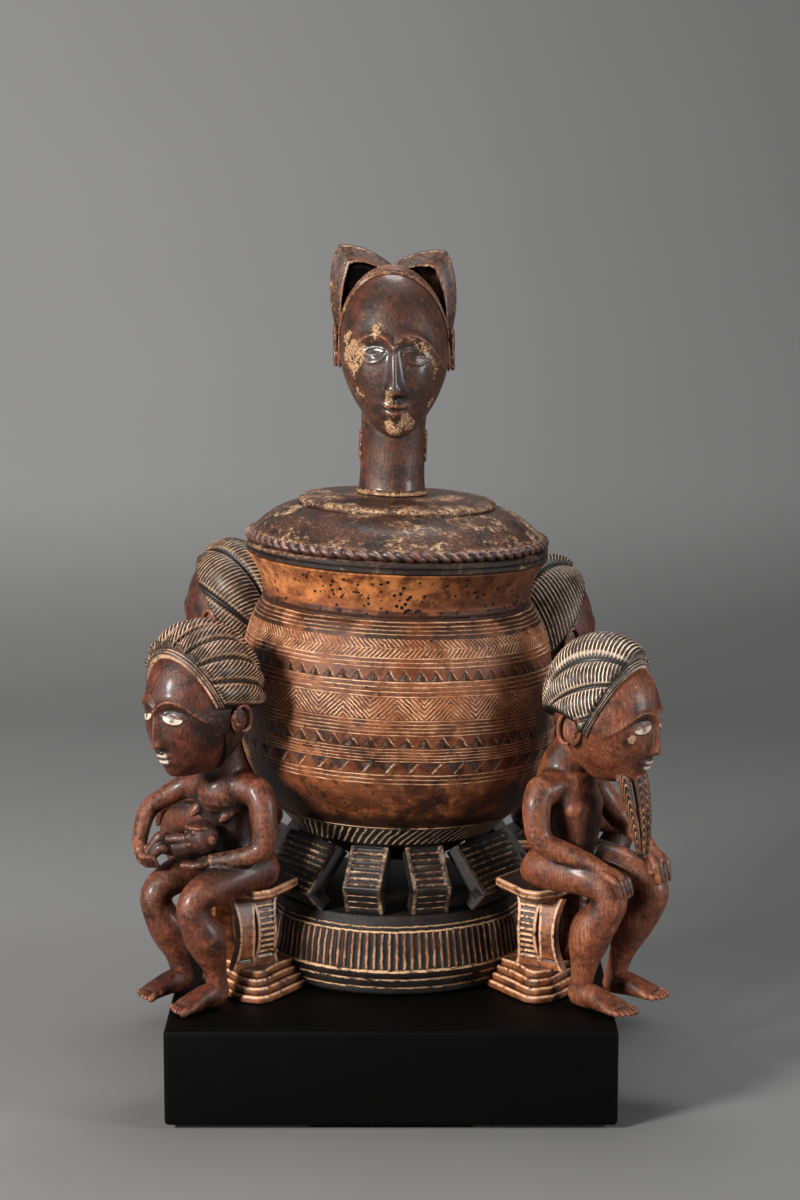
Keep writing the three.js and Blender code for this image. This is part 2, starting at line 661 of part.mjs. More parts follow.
// Plan of the stepped base, drawn in by an inset
function stoolBasePlan(inset) {
  const end = STOOL_BASE_END - inset;
  const half = STOOL_BASE_WIDTH / 2 - inset;
  const back = STOOL_BASE_BACK_WIDTH / 2 - inset / 2;
  const side = [
    [FOOT_BULGE_RADIUS - 8, back],
    [end - STOOL_CORNER * 1.4, half],
    [end - STOOL_CORNER * 0.7, half - 0.5],
    [end, half - STOOL_CORNER],
  ];
  return [...side, ...[...side].reverse().map(([r, s]) => [r, -s])];
}

function seatRing(up) {
  const bevelTop = STOOL_HEIGHT - SEAT_THICKNESS / 2;
  const inset = SEAT_BEVEL * clamp((2 * (bevelTop - up)) / SEAT_THICKNESS, 0, 1);
  const height = STAND_Z + up - STRUT_Z;
  const back = strutFace(strutLine(WIDE_ELBOW_RADIUS, WIDE_ELBOW_HEIGHT), height) + 1.6 * FIT_GAP;
  const side = [
    [back, SEAT_BACK_WIDTH / 2 - inset],
    [SEAT_END - 15, SEAT_WIDTH / 2 - inset],
    [SEAT_END - 6, SEAT_WIDTH / 2 - 1 - inset],
    [SEAT_END - inset, SEAT_WIDTH / 2 - 12 - inset],
  ];
  const outline = [...side.map(([r, s]) => [r, -s]), ...[...side].reverse()];
  return outline.map(([r, s]) => new THREE.Vector3(r, s, up));
}

// One bowed leg: an arched band in the side-and-up plane, carried along the seat's direction
function stoolLeg(place, side) {
  const low = STOOL_BASE_HEIGHT - 1;
  const high = STOOL_HEIGHT - SEAT_THICKNESS + 1;
  const middle = (low + high) / 2;
  const shape = new THREE.Shape();
  shape.moveTo(LEG_SPREAD, low);
  shape.quadraticCurveTo(LEG_SPREAD + 2 * LEG_BOW, middle, LEG_SPREAD, high);
  shape.lineTo(LEG_SPREAD - LEG_THICKNESS, high);
  shape.quadraticCurveTo(LEG_SPREAD - LEG_THICKNESS + 2 * LEG_BOW, middle, LEG_SPREAD - LEG_THICKNESS, low);
  const leg = new THREE.ExtrudeGeometry(shape, { depth: LEG_WIDTH, bevelEnabled: false, curveSegments: 4 });
  leg.translate(0, 0, -LEG_WIDTH / 2).rotateX(Math.PI / 2).rotateZ(Math.PI / 2);
  if (side < 0) leg.rotateZ(Math.PI);
  return toSolid(leg.translate(place, 0, 0));
}

function stoolGeometry() {
  const stepHeight = STOOL_BASE_HEIGHT / STOOL_STEPS;
  const steps = Array.from({ length: STOOL_STEPS }, (_, i) =>
    toSolid(slab(stoolBasePlan(i * STOOL_STEP_INSET), 0, (i + 1) * stepHeight)));
  const seatLow = STOOL_HEIGHT - SEAT_THICKNESS;
  const elbowUp = STRUT_Z + WIDE_ELBOW_HEIGHT - STAND_Z;
  const levels = [seatLow, elbowUp, STOOL_HEIGHT - SEAT_THICKNESS / 2, STOOL_HEIGHT];
  const inSeat = levels.filter((up) => up >= seatLow && up <= STOOL_HEIGHT);
  const seat = skinned(inSeat.sort((a, b) => a - b).map(seatRing));
  const columnHeight = seatLow + 1 - (STOOL_BASE_HEIGHT - 1);
  const column = new THREE.CylinderGeometry(STOOL_COLUMN_RADIUS, STOOL_COLUMN_RADIUS, columnHeight, 8)
    .rotateX(Math.PI / 2)
    .translate(STOOL_COLUMN_PLACE, 0, STOOL_BASE_HEIGHT - 1 + columnHeight / 2);
  const legs = [LEG_BACK_RADIUS, LEG_FRONT_RADIUS].flatMap((place) =>
    [-1, 1].map((side) => stoolLeg(place, side)));
  const clearance = new THREE.CylinderGeometry(1, 1, 2 * STOOL_BASE_HEIGHT + 4, ROUND_FACETS)
    .rotateX(Math.PI / 2);
  clearance.scale(FOOT_BULGE_RADIUS + FIT_GAP, FOOT_BULGE_RADIUS + FIT_GAP, 1);
  const base = lessAll(joined(steps), [toSolid(clearance)]);
  return toGeometry(joined([base, toSolid(seat), toSolid(column), ...legs]));
}

// SEATED FIGURES, in the frame of one seat: [out, side, up from the plinth, radius]

const MOTHER = {
  trunk: [
    [97, 0, 54, 12, 18], [98, 0, 64, 14, 19], [100.5, 0, 76, 12.5, 15.5], [102.5, 0, 87, 10.5, 13],
    [106, -1, 98, 11, 15], [108, -1, 107, 11, 16], [107.5, -1, 115, 9, 14], [106.5, -1, 121, 6, 8],
  ],
  legs: [
    [
      [97, -12, 66.5, 12], [122, -15.5, 63, 10.2], [140.5, -16, 52, 8.6], [132, -16, 34, 10],
      [127, -16, 19, 6.2], [123.5, -16, 7, 5.5],
    ],
    [
      [96, 12, 66, 12], [118, 15.5, 63.5, 10.2], [137.5, 17, 54, 8.8], [129.3, 17, 38, 10.6],
      [124.5, 17, 20, 6.2], [122, 17, 7, 5.5],
    ],
  ],
  feet: [[122, -16, 152, -11.5], [120.5, 17.5, 150.5, 20.5]],
  arms: [
    [
      [117.5, -19.5, 109, 7.5], [127, -25, 103, 5.8], [136, -28, 96.5, 5.2], [144, -24, 85, 4.6],
      [147.5, -17, 76, 4.2],
    ],
    [
      [100, 20.5, 110.5, 8], [100.5, 27, 99, 7], [101.5, 28.5, 84, 6.4], [109, 24, 76.5, 5.4],
      [124, 12, 74, 4.6],
    ],
    [[117, -19, 109.5, 7.5], [107.5, 0, 112, 8.5], [100.5, 20, 110.5, 8]],
  ],
  hands: [[[144, -13.5, 75.5], [5, 6, 4]], [[128, 8, 73], [7, 7, 3.5]]],
  neck: [[106, 0, 114, 11], [108, 1, 128, 10.3], [113, 2, 142, 10.3]],
  head: {
    place: [124.5, 4, 156],
    size: { width: 24.5, depth: 30, height: 36 },
    ear: { back: 4.4, down: 8 },
    nod: 6,
    turn: 14,
  },
  hair: { lobes: 5, swell: 4.5, base: 3, hairline: 30 },
  extra: [
    [[112, -8, 102, 6], [117.5, -8.5, 98.5, 4.5], [122, -8.5, 95, 2]],
    [[105, 9, 102, 6], [110.5, 9.5, 98.5, 4.5], [115, 9.5, 95, 2]],
  ],
};

const ELDER = {
  trunk: [
    [100, 0, 54, 12, 18], [101, 0, 64, 14, 18], [107, 0, 76, 14, 14.5], [111, 0, 88, 13, 13.5],
    [112, 0, 100, 13, 16], [109.5, 0, 109, 12.5, 17], [106, 0, 116, 10, 15], [105, 0, 121, 7, 9],
  ],
  legs: [
    [
      [100, -13, 68, 12], [122, -15.5, 69, 10.5], [141, -16, 61.5, 9], [130.5, -16, 42, 11],
      [126.5, -16, 19, 6.4], [123.5, -16, 7, 5.6],
    ],
    [
      [100, 13, 68, 12], [126, 15, 68, 10.3], [148.5, 15, 59.5, 9], [138.5, 15, 42, 10.4],
      [130.5, 14, 20, 6.2], [127.5, 13.4, 7, 5.5],
    ],
  ],
  feet: [[119.5, -15.8, 158, -22], [123, 12.8, 158, 14]],
  arms: [
    [
      [103, -20.5, 111, 8.3], [103.5, -26, 98, 7.4], [106.5, -27, 85, 6.6], [123, -22, 79.5, 5.6],
      [139, -18, 73, 4.8],
    ],
    [
      [106, 20.5, 111, 8.3], [112, 27, 100, 7], [122, 29, 88, 6.2], [136, 24, 83, 5.2],
      [146, 18, 76, 4.8],
    ],
    [[103.5, -20, 111.5, 8], [107, 0, 113, 9], [106, 20, 111.5, 8]],
  ],
  hands: [[[145, -17, 67], [5, 7, 6]], [[150.5, 16, 69], [4.5, 7, 7]]],
  neck: [[105, 0, 115, 12], [108, 0, 124, 11], [115, 0, 136, 11]],
  head: {
    place: [129.3, 0, 149.7],
    size: { width: 25, depth: 28, height: 33.5 },
    ear: { back: 6.8, down: 4 },
    nod: 6,
    turn: 2,
  },
  hair: { lobes: 5, swell: 5, base: 2.5, hairline: 33 },
  extra: [
    [[143, -7.5, 124, 4.4], [146, -6, 105, 3.8], [148.8, -2.5, 81, 1.4]],
    [[149, 0, 122, 4.4], [150.5, 0, 104, 3.8], [150.8, 0, 80, 1.4]],
    [[144, 7.5, 124, 4.4], [149, 6, 105, 3.8], [151.5, 2.6, 80, 1.4]],
  ],
};

// The two figures at the back sit upright with their hands on their knees
const BACK_LEFT = {
  ...ELDER,
  trunk: [
    [100, 0, 54, 12, 18], [101, 0, 64, 14, 19], [104, 0, 78, 12, 15], [107, 0, 92, 11, 14],
    [109, 0, 106, 12, 17], [109, 0, 118, 12, 20], [109, 0, 126, 9, 16], [109, 0, 132, 7, 9],
  ],
  arms: [-1, 1].map((side) => [
    [106, side * 21, 121, 8], [104, side * 27, 105, 6.5], [108, side * 28, 88, 6],
    [124, side * 23, 80, 5.2], [139, side * 18, 73, 4.6],
  ]),
  legs: [-1, 1].map((side) => [
    [100, side * 14, 68, 12], [122, side * 16, 68, 10.5], [140, side * 16, 59, 8.8],
    [130, side * 16, 40, 10.6], [125, side * 16, 18, 6.2], [122, side * 16, 6, 5.4],
  ]),
  feet: [[115, -16, 152, -18], [115, 16, 152, 18]],
  hands: [[[145, -17, 66], [5, 7, 6]], [[145, 17, 66], [5, 7, 6]]],
  neck: [[109, 0, 124, 10], [110, -3, 138, 9.5], [112, -6, 152, 9.5]],
  head: {
    place: [116, -7, 179],
    size: { width: 24, depth: 26, height: 36 },
    ear: { back: 3, down: 4 },
    nod: 4,
    turn: 0,
  },
  hair: { lobes: 3, swell: 5, base: 1.5, hairline: 30 },
  extra: [],
};

const BACK_RIGHT = {
  ...BACK_LEFT,
  trunk: ELDER.trunk.map(([out, side, up, depth, width]) =>
    [out - (up > 70 ? 4 : 0), side, up * 1.03, depth, width]),
  arms: BACK_LEFT.arms.map((arm) => arm.map(([out, side, up, r]) => [out, side, up > 100 ? up - 6 : up, r])),
  neck: [[107, 0, 118, 10.5], [107, 4, 130, 10], [108, 8, 144, 10]],
  head: {
    place: [111, 11, 169],
    size: { width: 23.5, depth: 24, height: 35 },
    ear: { back: 3, down: 4 },
    nod: 4,
    turn: 0,
  },
  hair: { lobes: 2, swell: 4.5, base: 1.5, hairline: 30 },
};

// A bare foot from heel to toes, flat underneath
function footShape([heelOut, heelSide, toeOut, toeSide]) {
  const sections = [
    [0, 4, 6], [0.16, 6.5, 12], [0.36, 6.8, 14], [0.6, 7.6, 10], [0.82, 8.6, 6.5], [1, 6.4, 3.5],
  ];
  return skinned(sections.map(([share, half, rise]) => {
    const centre = [lerp(heelOut, toeOut, share), lerp(heelSide, toeSide, share)];
    return Array.from({ length: 6 }, (_, j) => {
      const angle = (j / 6) * 2 * Math.PI + Math.PI / 6;
      const up = rise / 2 * (1 + Math.sin(angle)) - 1;
      return new THREE.Vector3(centre[0], centre[1] + half * Math.cos(angle), up);
    });
  }));
}

function figureHead({ head, hair }, plain) {
  const { size, place, nod, turn, ear } = head;
  const grid = plain ? [PLAIN_ROWS, PLAIN_COLUMNS] : [HEAD_ROWS, HEAD_COLUMNS];
  const pieces = [
    toSolid(headGeometry(size, ...grid)),
    toSolid(earLump(size, 1, ear)),
    toSolid(earLump(size, -1, ear)),
    hairSolid(size, hair),
  ];
  return joined(pieces).rotate([0, nod, 0]).rotate([0, 0, turn]).translate(place);
}

function figureGeometry(figure, plain = false) {
  const pieces = [
    trunk(figure.trunk),
    ...figure.legs.map((leg) => limb(leg)),
    ...figure.feet.map(footShape),
    ...figure.arms.map((arm) => limb(arm)),
    ...figure.hands.map(([place, radii]) => lump(place, radii, 0.6)),
    limb(figure.neck, { steps: 3 }),
    ...figure.extra.map((piece) => limb(piece, { steps: 4 })),
  ].map(toSolid);
  const body = joined([...pieces, figureHead(figure, plain)]);
  const wide = 200;
  const ground = toSolid(boxBetween([-wide, -wide, -wide], [wide, wide, 0]));
  const seat = toSolid(boxBetween([0, -wide, -wide], [SEAT_END + FIT_GAP, wide, STOOL_HEIGHT + FIT_GAP]));
  return toGeometry(lessAll(body, [ground, seat]));
}

// The infant lies across the mother's lap, its head on her left forearm
const INFANT = {
  head: [126, 8, 87.5, 9],
  trunk: [[126, 2, 82, 5.5], [130, -4, 80.5, 6], [134, -9, 79.5, 5]],
  legs: [[133, -9, 79.5, 4], [138, -10.5, 84.5, 3.8], [145.5, -14.5, 76.5, 3]],
};

function infantGeometry(mother) {
  const [x, y, z, radius] = INFANT.head;
  const pieces = [
    new THREE.SphereGeometry(radius, 10, 8).translate(x, y, z),
    limb(INFANT.trunk, { steps: 4 }),
    limb(INFANT.legs, { steps: 5 }),
  ].map(toSolid);
  const clearance = [-FIT_GAP, 0, FIT_GAP].flatMap((dx) => [-FIT_GAP, 0, FIT_GAP].flatMap((dy) =>
    [-FIT_GAP, 0, FIT_GAP].map((dz) => toSolid(mother.clone().translate(dx, dy, dz)))));
  const body = lessAll(joined(pieces), clearance);
  const shells = body.decompose().sort((a, b) => b.volume() - a.volume());
  return toGeometry(shells[0]);
}

// ASSEMBLY

const cup = new THREE.Group();

function place(parent, name, geometry, material, height = 0, azimuth = null) {
  const mesh = new THREE.Mesh(geometry, material);
  mesh.name = name;
  mesh.position.z = height;
  if (azimuth !== null) mesh.rotation.z = deg(azimuth - 90);
  parent.add(mesh);
  return mesh;
}

const plinth = place(cup, 'plinth', plinthPieces(), BLACK_PAINT, PLINTH_Z);
plinth.position.x = PLINTH_OFFSET;
[[-1, -1], [1, -1], [-1, 1], [1, 1]].forEach(([sideX, sideY], i) => {
  const pad = new THREE.BoxGeometry(PAD_LENGTH, PAD_DEPTH, PAD_THICKNESS);
  const mesh = place(cup, `felt_pad_${i + 1}`, pad, FELT, PAD_THICKNESS / 2);
  mesh.position.x = PLINTH_OFFSET + sideX * (PLINTH_WIDTH / 2 - PAD_INSET - PAD_LENGTH / 2);
  mesh.position.y = sideY * (PLINTH_DEPTH / 2 - PAD_INSET - PAD_DEPTH / 2);
});
pinPlaces().forEach((x, i) => {
  const mesh = place(cup, `mounting_pin_${i + 1}`, pinShape(0), STEEL, STAND_Z - PIN_EMBED);
  mesh.position.x = x;
});

place(cup, 'foot', toGeometry(footSolid()), BLACKENED_WOOD, STAND_Z);
const cage = new THREE.Group();
cage.position.z = STRUT_Z;
cup.add(cage);
const narrowLine = strutLine(NARROW_ELBOW_RADIUS, NARROW_ELBOW_HEIGHT);
const wideLine = strutLine(WIDE_ELBOW_RADIUS, WIDE_ELBOW_HEIGHT);
const narrowAngles = [-NARROW_AZIMUTH, NARROW_AZIMUTH, 180 - NARROW_AZIMUTH, 180 + NARROW_AZIMUTH];
narrowAngles.forEach((azimuth, i) => {
  place(cage, `narrow_strut_${i + 1}`, strutGeometry(narrowLine, NARROW_WIDTH), BLACKENED_WOOD, 0, azimuth);
});
const seatAngles = [-FRONT_SEAT, FRONT_SEAT, BACK_SEAT, -BACK_SEAT];
seatAngles.forEach((azimuth, i) => {
  place(cage, `wide_strut_${i + 1}`, strutGeometry(wideLine, WIDE_WIDTH), BLACKENED_WOOD, 0, azimuth);
});
place(cup, 'collar', leaned(collarGeometry(), COLLAR_Z), BLACKENED_WOOD, COLLAR_Z);
place(cup, 'bowl', bowlGeometry(), ORANGE_WOOD, BOWL_Z);

const lidGroup = new THREE.Group();
cup.add(lidGroup);
place(lidGroup, 'lid', lidGeometry(), DARK_WOOD, LID_Z);
const finial = place(lidGroup, 'lid_head', finialGeometry(), DARK_WOOD, FINIAL_Z - LEAN * FINIAL_OFFSET);
finial.position.x = FINIAL_OFFSET;
finial.rotation.y = Math.atan(LEAN);

seatAngles.forEach((azimuth, i) => {
  place(cup, `stool_${i + 1}`, stoolGeometry(), STOOL_WOOD, STAND_Z, azimuth);
});
const motherGeometry = figureGeometry(MOTHER);
place(cup, 'mother', motherGeometry, RED_WOOD, STAND_Z, -FRONT_SEAT);
place(cup, 'infant', infantGeometry(motherGeometry), RED_WOOD, STAND_Z, -FRONT_SEAT);
place(cup, 'elder', figureGeometry(ELDER), RED_WOOD, STAND_Z, FRONT_SEAT);
place(cup, 'back_right_figure', figureGeometry(BACK_RIGHT, true), RED_WOOD, STAND_Z, BACK_SEAT);
place(cup, 'back_left_figure', figureGeometry(BACK_LEFT, true), RED_WOOD, STAND_Z, -BACK_SEAT);

export default cup;
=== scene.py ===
"""The looks of a carved ointment cup: bowl and lid on an open pedestal, four seated figures on
stools, a head on the lid and a display plinth. Sizes below are millimetres in the part's frame
unless a name says otherwise: +Z up, -Y towards the front."""

import math

import bpy
import numpy as np
from bpy.props import FloatProperty, FloatVectorProperty, IntProperty, PointerProperty
from bpy.types import Operator, Panel, PropertyGroup
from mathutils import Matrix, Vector


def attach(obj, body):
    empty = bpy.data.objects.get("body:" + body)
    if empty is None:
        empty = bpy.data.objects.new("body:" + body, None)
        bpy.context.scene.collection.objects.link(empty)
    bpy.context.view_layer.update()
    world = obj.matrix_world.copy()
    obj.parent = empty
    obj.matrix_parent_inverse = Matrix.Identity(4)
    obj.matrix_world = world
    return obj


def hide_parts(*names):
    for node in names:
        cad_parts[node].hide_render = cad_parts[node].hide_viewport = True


bl_info = {
    "name": "Ointment Cup",
    "version": (1, 0, 0),
    "blender": (4, 5, 0),
    "location": "View3D > Sidebar > Ointment Cup",
    "description": "Builds a carved ointment cup with seated figures on its packed frame",
    "category": "Add Mesh",
}

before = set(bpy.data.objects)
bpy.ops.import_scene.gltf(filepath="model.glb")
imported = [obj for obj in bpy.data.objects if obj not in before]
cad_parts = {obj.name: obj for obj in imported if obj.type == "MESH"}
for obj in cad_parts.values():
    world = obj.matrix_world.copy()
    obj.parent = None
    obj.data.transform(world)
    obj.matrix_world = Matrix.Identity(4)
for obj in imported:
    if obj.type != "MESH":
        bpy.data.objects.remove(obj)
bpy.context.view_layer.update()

MM = 0.001
TAU = 2 * math.pi

# Heights of the stack
FOOT_Z = 52.3
STRUT_Z = 94.8
COLLAR_Z = 128.6
BOWL_Z = 134.0
LID_Z = 275.5
HEAD_Z = 307.2

# The carved lean: rings of the collar, bowl and lid fall towards +X
LEAN = 0.036
LEAN_RAMP = 18

# Directions round the axis, in degrees from the front towards +X
SEATS = {"stool_1": -56, "stool_2": 56, "stool_3": 124, "stool_4": -124}
FIGURES = {"mother": -56, "elder": 56, "back_left_figure": -124, "back_right_figure": 124}
NARROW_STRUTS = (-15.5, 15.5, 164.5, 195.5)
WIDE_STRUTS = (-56, 56, 124, -124)

# Sizes and counts that a shape and its finish share, or that set a shape's character
PLINTH_OFFSET = -3
PLINTH_HALF = (114, 125)
PAD_SPREAD = (75, 105)
PIN_SPREAD = 30
FLUTES = 112
ROPE_TURNS = 37
LID_NOTCHES = 88
STOOL_STEPS = 4
BELLY = 61
NECK_GROOVE = 117.2
CREST_MIDDLE = 92.0
HEAD_UP = 73.9
TRUNK_SQUARENESS = 2.3
PLAN_ROUNDING = 2.5

# The camera: millimetres, degrees down, lens in millimetres on a 36 mm sensor
VIEW_DISTANCE = 1516
VIEW_HEIGHT = 250
VIEW_PITCH = 9.2
VIEW_LENS = 85.5
VIEW_SHIFT = 0.0025

# The lamps: name, place, size in millimetres, power in watts, colour
LAMP_AIM = (0, 0, 210)
LAMPS = (
    ("key", (-1150, -1050, 760), 400, 51, (1.0, 0.98, 0.95)),
    ("fill", (1350, -620, 560), 600, 16, (0.98, 0.99, 1.0)),
    ("top", (60, 300, 1250), 500, 8, (1.0, 1.0, 1.0)),
)
WORLD_COLOUR = (0.80, 0.82, 0.86, 1)
WORLD_STRENGTH = 0.13

# Hair finishes: the material, its dark ground and its light strands, as 0-255 screen values
HAIR = {
    "mother": ("mother_hair_wood", (32, 20, 14), (226, 180, 144)),
    "elder": ("elder_hair_wood", (38, 27, 21), (240, 212, 184)),
    "beard": ("beard_wood", (44, 24, 16), (190, 136, 96)),
    "back_left_figure": ("leaf_hair_wood", (36, 24, 18), (190, 156, 124)),
    "back_right_figure": ("fan_hair_wood", (36, 24, 18), (184, 158, 132)),
}


# SURFACES

def bell(value, middle, spread):
    """A smooth bump: 1 at middle, falling away over spread."""
    return np.exp(-(((value - middle) / spread) ** 2))


def ramp(value, low, high):
    """Smooth step: 0 below low, 1 above high, an S-curve between."""
    share = np.clip((value - low) / (high - low), 0, 1)
    return share * share * (3 - 2 * share)


def spline(points, count):
    """Uniform Catmull-Rom curve through rows of numbers, sampled count times."""
    points = np.asarray(points, float)
    padded = np.vstack([2 * points[0] - points[1], points, 2 * points[-1] - points[-2]])
    along = np.linspace(0, len(points) - 1, count)
    knot = np.minimum(along.astype(int), len(points) - 2)
    t = (along - knot)[:, None]
    a, b, c, d = (padded[knot + i] for i in range(4))
    return 0.5 * (2 * b + (c - a) * t + (2 * a - 5 * b + 4 * c - d) * t ** 2
                  + (3 * b - a - 3 * c + d) * t ** 3)


class Skin:
    """A surface before it becomes a mesh: points, four- and three-cornered faces, a pattern
    coordinate at each face corner, and named values at each point."""

    def __init__(self, points, quads, tris, quad_uv, tri_uv, marks):
        self.points, self.quads, self.tris = points, quads, tris
        self.quad_uv, self.tri_uv, self.marks = quad_uv, tri_uv, marks

    def moved(self, change):
        """The same skin with its points sent through a function of an (n, 3) array."""
        return Skin(change(self.points), self.quads, self.tris, self.quad_uv, self.tri_uv,
                    self.marks)

    def marked(self, name, value):
        """The same skin with one named value all over."""
        self.marks[name] = np.full(len(self.points), value)
        return self

    def volume(self):
        """Six times the signed volume under every face."""
        p = self.points
        faces = np.vstack([self.quads[:, [0, 1, 2]], self.quads[:, [0, 2, 3]], self.tris])
        return np.einsum("ij,ij->", p[faces[:, 0]], np.cross(p[faces[:, 1]], p[faces[:, 2]]))

    def turned_out(self):
        """The skin with its faces flipped if they point inwards."""
        if self.volume() >= 0:
            return self
        return Skin(self.points, self.quads[:, ::-1], self.tris[:, ::-1],
                    self.quad_uv[:, ::-1], self.tri_uv[:, ::-1], self.marks)


def cells(rows, columns):
    """Row and column of every cell of a grid, as two flat arrays."""
    return (a.ravel() for a in np.meshgrid(np.arange(rows), np.arange(columns), indexing="ij"))


def loft(rings, uv=None, marks=None):
    """A closed skin through rings[i, j]: each ring closes on itself over j, neighbouring rings
    are joined by quads, and a fan to the middle closes each end. uv[i, j] has one column more
    than the rings, so that a pattern meets itself at the seam."""
    rings = np.asarray(rings, float)
    rows, columns = rings.shape[:2]
    if uv is None:
        v, u = np.meshgrid(np.linspace(0, 1, rows), np.linspace(0, 1, columns + 1), indexing="ij")
        uv = np.stack([u, v], -1)
    i, j = cells(rows - 1, columns)
    k = (j + 1) % columns
    quads = np.stack([i * columns + j, i * columns + k, (i + 1) * columns + k,
                      (i + 1) * columns + j], 1)
    quad_uv = np.stack([uv[i, j], uv[i, j + 1], uv[i + 1, j + 1], uv[i + 1, j]], 1)
    points = np.vstack([rings.reshape(-1, 3), rings[0].mean(0), rings[-1].mean(0)])
    j = np.arange(columns)
    k = (j + 1) % columns
    low, high = np.full(columns, rows * columns), np.full(columns, rows * columns + 1)
    last = (rows - 1) * columns
    tris = np.vstack([np.stack([low, k, j], 1), np.stack([high, last + j, last + k], 1)])
    middle = (uv[:, :-1] + uv[:, 1:]) / 2
    tri_uv = np.vstack([
        np.stack([middle[0], uv[0, 1:], uv[0, :-1]], 1),
        np.stack([middle[-1], uv[-1, :-1], uv[-1, 1:]], 1),
    ])
    full = {name: np.concatenate([v.ravel(), [v[0].mean(), v[-1].mean()]])
            for name, v in (marks or {}).items()}
    return Skin(points, quads, tris, quad_uv, tri_uv, full).turned_out()


def merged(skins):
    """Several skins as one; a value that a skin lacks is 0 there."""
    names = {name for skin in skins for name in skin.marks}
    starts = np.cumsum([0] + [len(s.points) for s in skins[:-1]])
    marks = {name: np.concatenate([s.marks.get(name, np.zeros(len(s.points))) for s in skins])
             for name in names}
    return Skin(
        np.vstack([s.points for s in skins]),
        np.vstack([s.quads + start for s, start in zip(skins, starts)]),
        np.vstack([s.tris + start for s, start in zip(skins, starts)]),
        np.vstack([s.quad_uv for s in skins]),
        np.vstack([s.tri_uv for s in skins]),
        marks,
    )


def lathe(profile, columns, wobble=None, base=0.0):
    """A profile of (radius, height) rows turned round the axis. u counts turns from the back,
    v is the height above base. wobble(angle, height) may add to the radius."""
    profile = np.asarray(profile, float)
    angle = np.linspace(0, TAU, columns + 1)[None, :] - math.pi / 2
    radius, height = profile[:, :1], profile[:, 1:2] + 0 * angle
    if wobble is not None:
        radius = radius + wobble(angle, height)
    rings = np.stack([radius * np.cos(angle) + 0 * height,
                      radius * np.sin(angle) + 0 * height, height], -1)
    uv = np.stack([(angle + math.pi / 2) / TAU + 0 * height, height - base], -1)
    return loft(rings[:, :-1], uv)


def carried(path, across, up, section):
    """Rings of a section[i, j] = (a, b) carried along path[i]: path + a * across + b * up."""
    return path[:, None] + section[..., :1] * across[:, None] + section[..., 1:] * up[:, None]


def path_frames(path):
    """Across and up directions that follow a path without twisting: each is the one before,
    made square to the new tangent."""
    tangent = np.gradient(path, axis=0)
    tangent /= np.linalg.norm(tangent, axis=1, keepdims=True)
    across = np.zeros_like(path)
    start = np.cross(tangent[0], (0.0, 1.0, 0.0) if abs(tangent[0][1]) < 0.8 else (1.0, 0.0, 0.0))
    across[0] = start / np.linalg.norm(start)
    for i in range(1, len(path)):
        square = across[i - 1] - tangent[i] * (across[i - 1] @ tangent[i])
        across[i] = square / np.linalg.norm(square)
    return tangent, across, np.cross(tangent, across)


def tube(points, sides, samples):
    """A round limb through rows of (x, y, z, radius) with domed ends: circles of the smoothed
    radius round the smoothed path."""
    dome = 5
    line = spline(points, samples)
    path, radius = line[:, :3], np.maximum(line[:, 3], 0.05)
    tangent, across, up = path_frames(path)
    turn = np.linspace(0, math.pi / 2, dome + 1)[1:]

    def cap(end, sign, angles):
        spots = [path[end] + sign * tangent[end] * radius[end] * math.sin(t) for t in angles]
        return spots, [radius[end] * math.cos(t) + 0.02 for t in angles]

    start, start_radius = cap(0, -1, turn[::-1])
    stop, stop_radius = cap(-1, 1, turn)
    path = np.vstack([start, path, stop])
    radius = np.concatenate([start_radius, radius, stop_radius])
    across, up = (np.vstack([np.tile(v[0], (dome, 1)), v, np.tile(v[-1], (dome, 1))])
                  for v in (across, up))
    angle = np.arange(sides) / sides * TAU
    section = radius[:, None, None] * np.stack([np.cos(angle), np.sin(angle)], -1)[None]
    return loft(carried(path, across, up, section))


def oval(centre, radii, rows=20, columns=28):
    """An ellipsoid."""
    rise = np.linspace(-math.pi / 2, math.pi / 2, rows + 2)[1:-1, None]
    angle = np.arange(columns)[None, :] / columns * TAU
    rings = np.stack([np.cos(rise) * np.cos(angle) * radii[0],
                      np.cos(rise) * np.sin(angle) * radii[1],
                      np.sin(rise) * radii[2] + 0 * angle], -1)
    return loft(rings + np.array(centre))


def swung(points, nod, turn):
    """Points nodded about Y (positive looks down), then turned about Z, in degrees."""
    n, t = math.radians(nod), math.radians(turn)
    about_y = np.array([[math.cos(n), 0, math.sin(n)], [0, 1, 0], [-math.sin(n), 0, math.cos(n)]])
    about_z = np.array([[math.cos(t), -math.sin(t), 0], [math.sin(t), math.cos(t), 0], [0, 0, 1]])
    return points @ (about_z @ about_y).T


def trunk(sections):
    """An upright body: level superellipses (out, side, up, half depth, half width) smoothed from
    the bottom to the top."""
    line = spline(sections, 60)
    angle = np.arange(44) / 44 * TAU
    x, y = (np.sign(v) * np.abs(v) ** (2 / TRUNK_SQUARENESS)
            for v in (np.cos(angle), np.sin(angle)))
    rings = np.stack([line[:, :1] + line[:, 3:4] * x, line[:, 1:2] + line[:, 4:5] * y,
                      line[:, 2:3] + 0 * x], -1)
    return loft(rings)


def shifted(skin, x, y, z):
    """The skin moved by x, y, z."""
    return skin.moved(lambda p: p + np.array([x, y, z]))


def leaned(points):
    """The carved lean, ramping in above the collar's base."""
    rise = np.clip((points[:, 2] - COLLAR_Z) / LEAN_RAMP, 0, 1)
    return points - np.stack([0 * rise, 0 * rise, LEAN * rise * points[:, 0]], 1)


